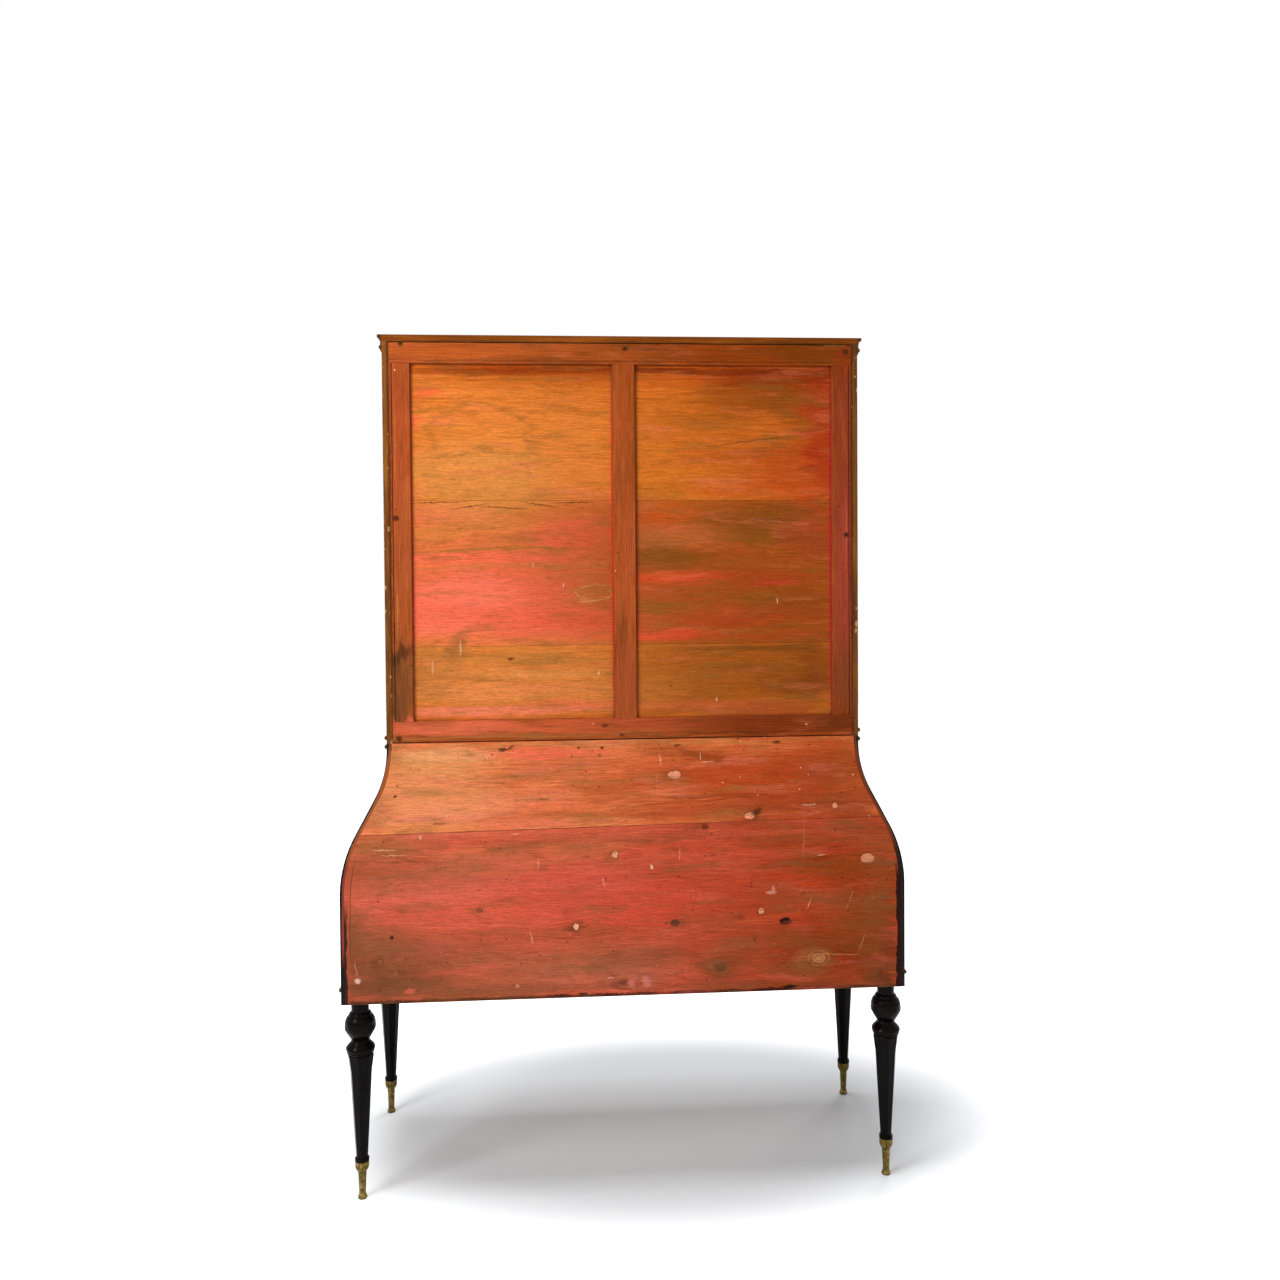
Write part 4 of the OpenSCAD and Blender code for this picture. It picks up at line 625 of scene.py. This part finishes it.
lower_board = grain_of("salmon_stain_on_lower_pine_board", "X", ["#a6482b", "#c85437", "#d85f43", "#e5704e"],
                       streak=(170, 6), cloud=(240, 40), wave=16, shares=(0.3, 0.36, 0.34),
                       swirls=[(-439, 527, 95, 0.75), (27, 777, 50, 0.6), (116, 616, 50, 0.6), (-211, 516, 60, 0.6),
                               (-16, 491, 90, 0.5), (553, 552, 80, 0.5), (-178, 836, 50, 0.5)])
patches(lower_board, [
    (540, 812, 90, 20, "#b46c3d", 0.7), (529, 760, 90, 26, "#b85637", 0.5), (400, 800, 70, 20, "#e76749", 0.6),
    (330, 790, 120, 16, "#d6784a", 0.5), (480, 700, 150, 50, "#db654d", 0.6), (331, 672, 170, 70, "#ea6248", 0.6),
    (189, 837, 160, 12, "#e36040", 0.7), (120, 790, 110, 20, "#d56e42", 0.5), (302, 727, 220, 20, "#e25c47", 0.5),
    (595, 640, 40, 50, "#dd6752", 0.5), (500, 590, 110, 26, "#ac5c3c", 0.55), (608, 590, 26, 60, "#7e4927", 0.7),
    (520, 540, 110, 50, "#7b4828", 0.7), (480, 490, 160, 24, "#854d2e", 0.7), (400, 560, 160, 40, "#a85a3f", 0.5),
    (200, 520, 180, 50, "#c26949", 0.55), (250, 480, 260, 12, "#a45739", 0.6), (90, 680, 160, 60, "#e75941", 0.5),
    (-68, 660, 120, 70, "#eb583e", 0.6), (-155, 784, 160, 26, "#e15535", 0.5), (-442, 735, 150, 18, "#9f5b26", 0.65),
    (-470, 760, 110, 4, "#7d451e", 0.6), (-400, 800, 120, 14, "#a75429", 0.6), (-530, 682, 60, 90, "#ac5422", 0.6),
    (-471, 562, 130, 26, "#8e5d1e", 0.7, -8), (-580, 520, 60, 40, "#a1512b", 0.6),
    (-340, 560, 170, 30, "#b8562d", 0.5), (-250, 600, 170, 16, "#b9552e", 0.5), (-560, 600, 50, 50, "#9c5923", 0.6),
    (-120, 570, 150, 20, "#d35c43", 0.5), (-211, 516, 60, 30, "#8a4f2d", 0.7), (-16, 491, 60, 24, "#a15842", 0.6),
    (-300, 470, 300, 10, "#975228", 0.6), (-330, 690, 120, 40, "#df5333", 0.5), (-600, 700, 26, 100, "#b65f2b", 0.6),
    (24, 560, 120, 26, "#c46949", 0.4), (-60, 850, 130, 10, "#da5d3b", 0.5), (100, 600, 120, 14, "#bf5c3a", 0.5),
    (-370, 836, 140, 8, "#c35430", 0.5),
])
# Painted shade: the -X side of the board, far from the lamp, multiplied darker.
patches(lower_board, [
    (-560, 680, 300, 260, "#eac588", 0.85), (-200, 640, 260, 200, "#ecd8c8", 0.6),
    (-560, 500, 260, 70, "#dcc8b0", 0.7),
], **PAINTED_SHADE)
# A broken dark line runs along the bottom edge.
for x, across in [(-600, 40), (-520, 50), (-430, 44), (-330, 60), (-230, 40), (-140, 60), (-40, 50), (60, 60),
                  (160, 40), (250, 60), (350, 50), (440, 44), (530, 60), (610, 34)]:
    patch(lower_board, x, 458, across, 5, "#28140c", 0.92, **SMALL)
patches(lower_board, [
    (430, 712, 150, 40, "#ee705a", 0.45), (60, 512, 160, 26, "#da7458", 0.45), (90, 700, 160, 50, "#dc5a48", 0.35),
    (418, 838, 120, 15, "#ea7a5a", 0.6), (240, 828, 120, 13, "#e06a48", 0.55), (60, 822, 110, 13, "#da6644", 0.5),
    (560, 850, 44, 12, "#c06c44", 0.5), (240, 776, 110, 24, "#e86c4a", 0.45), (-594, 570, 34, 120, "#7c3a1c", 0.5),
    (-590, 476, 40, 18, "#5c2e1a", 0.6),
])
for row in [
    (-553, 755, 15.5, 10.5, "#f49d71", "#8a4524", "#ae5c30", 1.3),
    (-306, 640, 7, 7.5, "#f69872", "#462114", "#9e4b2b", 1.6),
    (27, 777, 7, 7, "#feac85", "#351710", "#8e532a", 2.4), (116, 616, 6.5, 6.5, "#ffb892", "#2b140b", "#6b3c1f", 2.4),
    (331, 660, 4, 4, "#9f553f", "#472117", "#8d5733", 3.0),
    (249, 485, 5.5, 4.5, "#e1885e", "#68311e", "#9f5534", 1.6),
    (-362, 615, 13.5, 6.5, "#180f09", "#452110", "#652d15", 1.2),
    (-108, 618, 10, 7, "#56311f", "#68331d", "#7b4026", 1.9),
    (-178, 836, 8, 6, "#7c321d", "#a14229", "#8e3b24", 1.8),
    (-211, 514, 14, 10, "#78462b", "#8a4d2d", "#8c562f", 1.8),
    (-439, 527, 16, 11, "#c87e4e", "#7f4225", "#af6c3f", 2.4), (553, 550, 7, 5, "#985731", "#432111", "#643319", 2.6),
]:
    knot(lower_board, *row)
patches(lower_board, [
    (560, 790, 60, 20, "#965e32", 0.55), (556, 772, 70, 1.6, "#613319", 0.6), (500, 776, 14, 5, "#5f3319", 0.5, -30),
    (560, 600, 60, 40, "#92593a", 0.4), (560, 500, 90, 40, "#764a2c", 0.6), (420, 640, 120, 16, "#d5604a", 0.4),
    (340, 760, 120, 22, "#c2754c", 0.4), (90, 800, 90, 14, "#d66e43", 0.4), (-20, 540, 90, 20, "#b15d42", 0.4),
    (-500, 620, 60, 30, "#904c21", 0.5), (-420, 500, 90, 20, "#8b5528", 0.5), (-570, 600, 30, 120, "#9b5227", 0.5),
    (10, 483, 26, 14, "#873f28", 0.55), (-26, 485, 10, 14, "#f2897c", 0.5), (-180, 480, 120, 12, "#a44d2f", 0.5),
])
for row in [
    (-439, 527, 24, 17, 0.12, "#d18c56", 0.45), (-441, 528, 34, 22, 0.12, "#7f4c25", 0.45),
    (-439, 527, 9, 6, 0.25, "#90532f", 0.6), (-211, 514, 22, 15, 0.16, "#a16439", 0.5),
    (27, 777, 3.5, 3.5, 0.4, "#c27853", 0.6), (-553, 755, 9, 6, 0.2, "#e29167", 0.5),
    (-16, 491, 40, 20, 0.12, "#ba6b50", 0.5),
]:
    ring(lower_board, *row, crisp=True)
patches(lower_board, [
    (603, 508, 6, 6, "#f0c0ac", 0.9), (606, 535, 0.8, 16, "#f6b480", 0.6, 12), (488, 482, 12, 6, "#f76c5b", 0.7),
    (526, 604, 4.5, 5, "#451f12", 0.9), (540, 800, 26, 1.2, "#f4bc8c", 0.7), (520, 788, 30, 1.2, "#ecb07c", 0.7),
    (461, 826, 3, 6, "#f4b894", 0.7, 10), (200, 762, 1, 14, "#f0b8a4", 0.65, -2),
    (53, 715, 1, 12, "#f0b8a4", 0.6, 14), (216, 596, 1, 16, "#f0b8a4", 0.6, 12), (-330, 682, 13, 4, "#fb9e86", 0.8),
    (-334, 690, 3, 7, "#fbaf96", 0.8, 10), (-56, 748, 3, 5, "#f4d0a8", 0.9, 10), (-120, 775, 0.7, 12, "#fabf9d", 0.6),
    (-418, 655, 1.4, 12, "#fbba91", 0.7, -22), (-512, 660, 1.2, 20, "#e59c6b", 0.6, -20),
    (-540, 560, 1.2, 20, "#e29d6f", 0.5, -20), (-405, 800, 1.8, 40, "#e88b5e", 0.3, -2),
    (-480, 535, 60, 1.2, "#d1955e", 0.5, -3), (-372, 464, 18, 4, "#191008", 0.95), (-120, 460, 9, 3, "#2a160b", 0.9),
    (322, 459, 12, 2.6, "#2a150a", 0.9), (102, 463, 12, 2.4, "#2b170d", 0.9), (-445, 765, 9, 1.2, "#f5c898", 0.7),
    (-42, 486, 9, 14, "#f18f84", 0.5, 20), (-290, 575, 3, 4, "#542212", 0.8), (40, 497, 7, 1.4, "#f0b8a8", 0.7),
    (12, 486, 12, 7, "#6a3525", 0.6), (-60, 830, 8, 1.4, "#a13b25", 0.6), (250, 830, 9, 1.2, "#fdbfa1", 0.6),
], **SMALL)
weather(lower_board, [
    ((420, 60), 0.46, 0.66, "#8f5834", 0.4, 2.0), ((150, 26), 0.5, 0.7, "#8c5a34", 0.5),
    ((170, 28), 0.52, 0.72, "#e0644e", 0.45, 5.0), ((44, 12), 0.52, 0.78, "#7c3c26", 0.45, 9.0),
], [(34, 1.8, 0.76, 1.18), (9, 2.2, 0.84, 1.14)], [
    (19, 2.5, 0.22, "#f8ccb0", 0.75), (15, 2.4, 0.16, "#3c160c", 0.7),
    (34, 3.0, 0.12, "#f0a994", 0.5, (0.5, 1.0, 1.6)),
])
ogee_edge(lower_board, [
    (-9, 9.4, 400, 1060, 0, 2, "#2a1612", 0.9), (9.4, 24, 300, 770, 1, 6, "#b5503c", 0.3),
    (23, 24.6, 560, 780, 1, 4, "#5a2418", 0.7), (0, 16, 300, 660, 1, 12, "#2e1c18", 0.95),
    (0, 20, 300, 735, -1, 17, "#241210", 0.97), (0, 13, 640, 800, -1, 7, "#241210", 0.9),
])
# Dirt and painted shade where the board meets the case.
grime_and_painted_shade(lower_board, 9, "#4a1e10", 0.6)
bare_inside(lower_board)
dress(surface(lower_board, (0.46, 0.64), relief=0.4, worn="#2c1610", wear=0.8), "lower_back_lower")


# The outside of both cases: the ogee and straight sides, the fall, the doors and the mouldings. They are hardwood,
# stained black through and polished with shellac, and their edges have rubbed back to a reddish brown.
def ebonised(name, along, tones=("#080605", "#0d0907", "#130c09", "#1f130e")):
    black = grain_of(name, along, tones, streak=(260, 5), cloud=(220, 90), wave=5)
    flecks(black, 46, 4, 0.05, "#4e3222", 0.6)
    return black


def rear_edge(black, colour, low, high, strength=0.95):
    """The raw rear edge of a board, which faces +Y: bare wood between two distances from the middle of the case."""
    tree = black.tree
    out = add(tree, "Math ABSOLUTE", add(tree, "SeparateXYZ", black.chipped).outputs["X"])
    cover(black, colour, *between(tree, out, low, high), facing(black, "Y", 0.9), strength)


def inner_face(black, *tones):
    """The inner faces of the sides, which were never blackened: they face the middle of the case."""
    tree = black.tree
    side = add(tree, "Math SIGN", add(tree, "SeparateXYZ", black.place).outputs["X"])
    normal = add(tree, "SeparateXYZ", add(tree, "TexCoord").outputs["Normal"])
    turned = add(tree, "Math MULTIPLY", side, normal.outputs["X"])
    cover(black, bare(black, *tones), add(tree, "Math LESS_THAN", turned, -0.5))


# Ebonised hardwood under shellac: a warm near-black with a satin gloss. Only the rear edges show the raw wood,
# which has gone golden brown.
upper_sides = ebonised("ebonised_upper_sides", "Z")
inner_face(upper_sides, "#4a2210", "#6a3418", "#7c4222")
raw_edge = copy.copy(upper_sides)
raw_edge.colour = bare(raw_edge, "#4c2c0c", "#7d4616", "#9a6024")
flecks(raw_edge, 10, 5, 0.3, "#d0a864", 0.75, (1.0, 1.0, 0.5))
rear_edge(upper_sides, raw_edge.colour, 500, 532.2)
rear_edge(upper_sides, "#2a1408", 519.5, 521.5, 0.6)
dress(surface(upper_sides, (0.26, 0.42), shine=0.11, relief=0.15, worn="#5a2e18", wear=0.8), "upper_side_left",
      "upper_side_right")

lower_sides = ebonised("ebonised_ogee_sides", "Z")
inner_face(lower_sides, "#8a6238", "#a87c4a", "#bd9260")
raw_edge = copy.copy(lower_sides)
ogee_edge(raw_edge, [
    (4.5, 12, 760, 1043, 1, 2, "#a85a30", 0.85), (4.5, 12, 790, 1043, -1, 2, "#7c3c1c", 0.85),
    (5.0, 12, 560, 760, 1, 4, "#9c4030", 0.8),
])
cover(lower_sides, raw_edge.colour, facing(lower_sides, "Y", 0.9))
dress(surface(lower_sides, (0.26, 0.42), shine=0.11, relief=0.15, worn="#5a2818", wear=0.8), "lower_side_left",
      "lower_side_right")

# The mouldings were stained before the top board went on, so behind they are still brown.
mouldings = ebonised("ebonised_cornice_and_rails", "X")
rear_edge(mouldings, bare(mouldings, "#3c200e", "#5e3416", "#7a4a22"), 0, 700)
# Dirt and painted shade in the hollows of the mouldings.
grime_and_painted_shade(mouldings, 6, "#0c0806", 0.6)
dress(surface(mouldings, (0.28, 0.44), shine=0.1, relief=0.12, worn="#6a3a1e", wear=0.85), "cornice", "frieze_rail",
      "waist_rail")

# The doors and the fall are handled: the same black, a little glossier.
for name, along, rough, relief, wear, nodes in [
    ("ebonised_door_frames", "Z", (0.26, 0.42), 0.12, 0.8, ("door_frame_left", "door_frame_right")),
    ("ebonised_fall", "X", (0.24, 0.4), 0.1, 0.7, ("fall",)),
]:
    black = ebonised(name, along)
    # Dirt and painted shade in the hollows and joints.
    grime_and_painted_shade(black, 6, "#080605", 0.5)
    dress(surface(black, rough, shine=0.14, relief=relief, worn="#5c2c18", wear=wear), *nodes)


# The boards inside the carcase: bottoms, tops, the uprights beside the lopers and the drawers' runners. They are
# plain pine, sawn and planed by hand, glued and nailed between the sides.
def plain_pine(name, along):
    pine = grain_of(name, along, ["#8a6238", "#a87c4a", "#b98b58", "#c89c68"], streak=(300, 8), wave=12)
    flecks(pine, 40, 12, 0.10, "#6a3c20", 0.7)
    # Dirt and painted shade in the corners.
    grime_and_painted_shade(pine, 20, "#4a3018", 0.5)
    cover(pine, bare(pine, "#180e09", "#2a1810", "#3a2216"), facing(pine, "Y", -0.5))
    return pine


# Unpolished pine: pale and matt, browned by age, darker in the corners with dirt and painted shade, its front edges
# stained dark.
level_pine = plain_pine("planed_pine_level", "X")
planks = level_pine.tree
place = add(planks, "SeparateXYZ", level_pine.place).outputs
high_up = add(planks, "Math GREATER_THAN", place["Z"], 1.0)
# The top board's rear edge caught the stain of the back and shows over the frame.
at_back = add(planks, "Math GREATER_THAN", place["Y"], 0.2515)
cover(level_pine, bare(level_pine, "#5c2c08", "#7f3f0e", "#9c5618"), at_back, high_up)
patches(level_pine, [
    (300, 1930, 150, 2.2, "#4a260e", 0.6), (-50, 1930, 120, 2.2, "#4a260e", 0.4),
    (-400, 1930, 120, 2.2, "#4a260e", 0.6), (0, 1942, 600, 1.6, "#6a3a1a", 0.7),
], soft=0.5, crisp=True)
# Its upper face has gone grey-brown under dust.
above = add(planks, "Math GREATER_THAN", place["Z"], 1.9)
cover(level_pine, bare(level_pine, "#3e2e20", "#54402c", "#665038"), facing(level_pine, "Z", 0.5), high_up, above)
dress(surface(level_pine, (0.55, 0.75), worn="#8a5c34", wear=0.4), "upper_bottom", "upper_top", "lower_top",
      "lower_bottom")
dress(surface(plain_pine("planed_pine_front_to_back", "Y"), (0.55, 0.75), worn="#7a5230", wear=0.4),
      "loper_dividers", "drawer_runners")


# The shelves and the writing cabinet inside: thin mahogany boards, French polished, housed in one another. The
# small drawers have polished fronts on thin sides.
def mahogany(name, along, tones=("#3c1a0c", "#5a2814", "#70361c", "#854628")):
    board = grain_of(name, along, tones, streak=(180, 6), fibre=(30, 1.6), cloud=(260, 60), wave=10)
    # Dirt and painted shade in the corners of the cabinet.
    grime_and_painted_shade(board, 16, "#1c0c06", 0.55)
    return board


def polish(board, rough, relief, worn, wear, *nodes):
    dress(surface(board, rough, shine=0.25, relief=relief, worn=worn, wear=wear), *nodes)


def drawer_wood(name, front_edge, front_tones, side_tones):
    """A drawer is cut from two woods: its front board, in front of the plane y = front_edge in mm, and the rest."""
    front = mahogany(name, "X", front_tones)
    depth = add(front.tree, "SeparateXYZ", front.place).outputs["Y"]
    behind = add(front.tree, "Math GREATER_THAN", depth, front_edge / 1000)
    cover(front, bare(front, *side_tones), behind)
    return front


# Polished mahogany: a clear red-brown with short dark pores and a soft shine.
polish(mahogany("polished_mahogany_level", "X"), (0.3, 0.46), 0.15, "#a0643a", 0.5,
       "shelves", "desk_board", "gallery_boards", "gallery_facings")
polish(mahogany("polished_mahogany_upright", "Z"), (0.34, 0.5), 0.15, "#a0643a", 0.5,
       "gallery_partitions", "gallery_back")
polish(drawer_wood("small_drawer_mahogany_and_oak", 62, ("#54260f", "#74391b", "#8c4a26", "#a25c34"),
                   ("#8a6438", "#a57c4c", "#b98f5e")), (0.28, 0.44), 0.12, "#b8804c", 0.5,
       "small_drawer_1", "small_drawer_2", "small_drawer_3", "small_drawer_4")


# The two long drawers, the rails between them and the two lopers: dark mahogany outside, oak in the drawers' sides.
# They are polished like the cabinet but were stained nearly black to match the case.
DARK_MAHOGANY = ("#1e0e08", "#321810", "#452216", "#57301e")
polish(drawer_wood("long_drawer_mahogany_and_oak", -197, DARK_MAHOGANY, ("#7a5832", "#94703f", "#a88250")),
       (0.24, 0.4), 0.1, "#7c4426", 0.7, "drawer_upper", "drawer_lower")
polish(mahogany("dark_polished_mahogany_rails", "X", DARK_MAHOGANY), (0.26, 0.42), 0.1, "#7c4426", 0.7,
       "drawer_rails")
polish(mahogany("dark_polished_mahogany_lopers", "Y", ("#24120a", "#3a1c12", "#4c2818", "#5e3822")),
       (0.3, 0.46), 0.12, "#7c4426", 0.7, "loper_left", "loper_right")


# The writing surface: a skiver of thin red goatskin, pasted into the fall and stamped with a fine gilt line.
# It is dyed unevenly, pebbled and scuffed, and its two gilt lines are rubbed away in places.
GILT_LINES = ((0.014, 0.0012), (0.0185, 0.0006))        # inset from the edge and half-width, in metres
skiver, skin, coat = new_material("red_goatskin_with_gilt_line")
place = add(skin, "TexCoord").outputs["Object"]
pebble = add(skin, "TexVoronoi", {"Vector": place, "Scale": 420.0}, feature="SMOOTH_F1")
creases = add(skin, "TexNoise", {"Vector": place, "Scale": 90.0, "Detail": 4.0})
scuffs = add(skin, "TexNoise", {"Vector": place, "Scale": 9.0, "Detail": 5.0, "Roughness": 0.6})
split = add(skin, "SeparateXYZ", place)
leather_low, leather_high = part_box("fall_leather")
insets = []
for axis, name in ((0, "X"), (2, "Z")):
    middle = (leather_low[axis] + leather_high[axis]) / 2
    half = (leather_high[axis] - leather_low[axis]) / 2
    off = add(skin, "Math SUBTRACT", split.outputs[name], middle)
    off = add(skin, "Math ABSOLUTE", off)
    insets.append(add(skin, "Math SUBTRACT", half, off))
near = add(skin, "Math MINIMUM", *insets)
lines = [add(skin, "Math COMPARE", near, inset, wide) for inset, wide in GILT_LINES]
rubbed = add(skin, "MapRange", {"Value": creases, "From Min": 0.36, "From Max": 0.46})
gilt = add(skin, "Math MULTIPLY", add(skin, "Math MAXIMUM", *lines), rubbed)
leather = SimpleNamespace(tree=skin, colour=tones_over(skin, scuffs, ("#3e0f0c", "#7c2a1c"), 0.34, 0.7))
cover(leather, "#b98a3c", gilt)
grained = add(skin, "Math ADD", pebble.outputs["Distance"], creases)
feed(coat, {"Base Color": leather.colour, "Metallic": gilt,
            "Roughness": add(skin, "MapRange", scuffs, 0.3, 0.7, 0.38, 0.6),
            "Normal": add(skin, "Bump", {"Strength": 0.35, "Distance": 0.0004, "Height": grained})})
dress(skiver, "fall_leather")


# The panes: old drawn window glass 3 mm thick, puttied into the glazing bars. It is nearly clear, with a slight
# wave that bends reflections and a trace of dust.
glass, pane, coat = new_material("old_drawn_window_glass")
place = add(pane, "TexCoord").outputs["Object"]
drawn = add(pane, "VectorMath MULTIPLY", place, (14.0, 14.0, 4.0))
reams = add(pane, "TexNoise", {"Vector": drawn, "Scale": 1.0, "Detail": 1.0})
dust = add(pane, "TexNoise", {"Vector": place, "Scale": 60.0, "Detail": 6.0, "Roughness": 0.7})
feed(coat, {"Transmission Weight": 1.0, "IOR": 1.5, "Base Color": tones_over(pane, dust, ("#eef4f0", "#dfe6e0")),
            "Roughness": add(pane, "MapRange", dust, 0.5, 0.75, 0.0, 0.05),
            "Normal": add(pane, "Bump", {"Strength": 0.15, "Distance": 0.0005, "Height": reams})})
dress(glass, "door_glass_left", "door_glass_right")


# The brass: half-round beads let into the case, cast shoes, knobs, hinges, pegs and screws. All of it was lacquered
# once and has tarnished brown, green in the hollows and bright only where it is rubbed.
def brass(name, bright, dull, deep, rough, hollow="#2c3a24", reach=4, ends=None, blotch=55.0):
    cast, tree, coat = new_material(name)
    place = add(tree, "TexCoord").outputs["Object"]
    tarnish = add(tree, "TexNoise", {"Vector": place, "Scale": blotch, "Detail": 6.0, "Roughness": 0.65})
    pits = add(tree, "TexNoise", {"Vector": place, "Scale": 420.0, "Detail": 3.0})
    metal = SimpleNamespace(tree=tree, colour=tones_over(tree, tarnish, (deep, bright), 0.36, 0.62))
    metal.colour.color_ramp.elements.new(0.5).color = linear(dull)
    # Patina and dark tarnish in the hollows, laid by an occlusion mask that paints shade there too.
    grime_and_painted_shade(metal, reach, hollow, 0.85, 0.3, 0.9)
    soft_edge = add(tree, "Bevel", {"Radius": 0.0008}, **RAYS)
    cover(metal, bright, turned_edge(tree, soft_edge, 0.99, 0.85, 0.7))
    if ends:
        cover(metal, ends, facing(metal, "Y", 0.9), 0.85)
    pitted = add(tree, "Bump", {"Strength": 0.3, "Distance": 0.0003, "Height": pits, "Normal": soft_edge})
    feed(coat, {"Metallic": 1.0, "Base Color": metal.colour, "Normal": pitted,
                "Roughness": add(tree, "MapRange", tarnish, 0.3, 0.7, rough[1], rough[0])})
    return cast


# Tarnished cast brass: brownish gold, blotchy, semi-matt and dark in the reeds of the shoes with tarnish and painted
# shade.
dress(brass("tarnished_cast_brass", "#927942", "#6e5d2f", "#443817", (0.3, 0.5), "#181c0c", 6, blotch=130.0),
      "sabots")
# Rolled half-round brass: smoother and a little brighter along its length, with ends cut dull and brown.
dress(brass("tarnished_rolled_brass_bead", "#a68a54", "#8c7242", "#6e5830", (0.28, 0.44), "#4a4024", 3, "#3a2412",
            14.0), "brass_beads")
dress(brass("brown_tarnished_brass_screws", "#8a6230", "#4a3018", "#24140a", (0.45, 0.65), "#120a06"), "back_screws")
dress(brass("handled_turned_brass", "#d0a860", "#a8803e", "#6a4c22", (0.2, 0.42)), "drawer_upper_knobs",
      "drawer_lower_knobs", "door_hinges_left", "door_hinges_right", "case_hinge_leaves", "hinge_pins",
      "door_lock", "fall_hinge_leaves", "fall_lock", "shelf_pegs")


# The key of the bookcase doors: filed from mild steel, blued by age and polished by hands on its bow. The strokes
# of the file run along its shank, and rust has browned it in spots.
key_steel, filed, coat = new_material("filed_mild_steel")
place = add(filed, "TexCoord").outputs["Object"]
across = add(filed, "VectorMath MULTIPLY", place, (900.0, 60.0, 900.0))
strokes = add(filed, "TexNoise", {"Vector": across, "Scale": 1.0, "Detail": 3.0})
rust = add(filed, "TexNoise", {"Vector": place, "Scale": 160.0, "Detail": 5.0})
feed(coat, {"Metallic": 1.0, "Base Color": tones_over(filed, rust, ("#8c8a86", "#4a3a30"), 0.4, 0.65),
            "Roughness": add(filed, "MapRange", rust, 0.0, 1.0, 0.25, 0.6),
            "Normal": add(filed, "Bump", {"Strength": 0.2, "Distance": 0.0002, "Height": strokes})})
dress(key_steel, "door_key")


# The four legs: turned in hardwood with an urn and a collar over an eight-sided tapered shaft, ebonised like the
# case. Their edges and the rings of the urn have rubbed to reddish brown.
legs = ebonised("ebonised_turned_legs", "Z", ("#040303", "#070504", "#0b0706", "#170d0a"))
# Dirt and painted shade, near black, in the hollows of the turnings.
grime_and_painted_shade(legs, 5, "#020202", 0.8)
flecks(legs, 26, 4, 0.08, "#4a3024", 0.5, (1.0, 1.0, 0.5))
dress(surface(legs, (0.1, 0.22), shine=0.05, relief=0.08, worn="#2e1a14", wear=0.6), "leg_back_left",
      "leg_back_right", "leg_front_left", "leg_front_right")

# Round each urn a carver cut a zig-zag between two fillets. It stands 1 mm proud of the turned belly.
LEG_X, LEG_BACK, LEG_FRONT, CASE_FOOT = 0.605, 0.217642, -0.182358, 0.455
BELLY = [(55.0, 34.6), (60.0, 34.6), (65.0, 33.7), (70.0, 32.0), (73.0, 30.5)]        # depth and radius in mm
BAND_TOP, BAND_HEIGHT = 56.0, 15.5        # how far below the case it starts and how high it is, in mm
ZIGZAGS, ROUND, ROWS = 16, 192, 18


def belly_radius(depth):
    """The radius of the urn in mm at a depth in mm below the case."""
    for (above, wide), (below, narrow) in zip(BELLY, BELLY[1:]):
        if depth <= below:
            return wide + (narrow - wide) * (depth - above) / (below - above)
    return BELLY[-1][1]


def carved(row, i):
    """How far the carving stands out of the belly in mm, at a row of the band and a step round it. The band is
    closed behind: its outermost rows dip under the belly, and two more rings lie inside the wood."""
    if row in (-1, ROWS + 1):
        return -3.0
    if row in (0, ROWS):
        return -0.8
    across = row / ROWS
    tooth = abs((i * ZIGZAGS / ROUND) % 1.0 - 0.5) * 2.0
    ridge = max(0.0, 1.0 - abs(across - (0.22 + 0.56 * tooth)) / 0.13)
    fillet = max(0.0, 1.0 - min(across, 1.0 - across) / 0.07)
    return -0.35 + 1.15 * max(ridge, fillet)


points, faces = [], []
rings = range(-1, ROWS + 2)
for centre_x in (-LEG_X, LEG_X):
    for centre_y in (LEG_BACK, LEG_FRONT):
        start = len(points)
        for at, row in enumerate(rings):
            depth = BAND_TOP + BAND_HEIGHT * min(max(row, 0), ROWS) / ROWS
            here, under = start + at * ROUND, start + (at + 1) % len(rings) * ROUND
            for i in range(ROUND):
                turn = 2 * math.pi * i / ROUND
                wide = (belly_radius(depth) + carved(row, i)) / 1000
                points.append((centre_x + wide * math.cos(turn), centre_y + wide * math.sin(turn),
                               CASE_FOOT - depth / 1000))
                beside = (i + 1) % ROUND
                faces.append((here + i, under + i, under + beside, here + beside))
carving = new_piece("urn_carving", points, faces, legs.wood)
carving.data.shade_smooth()
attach(carving, "case")
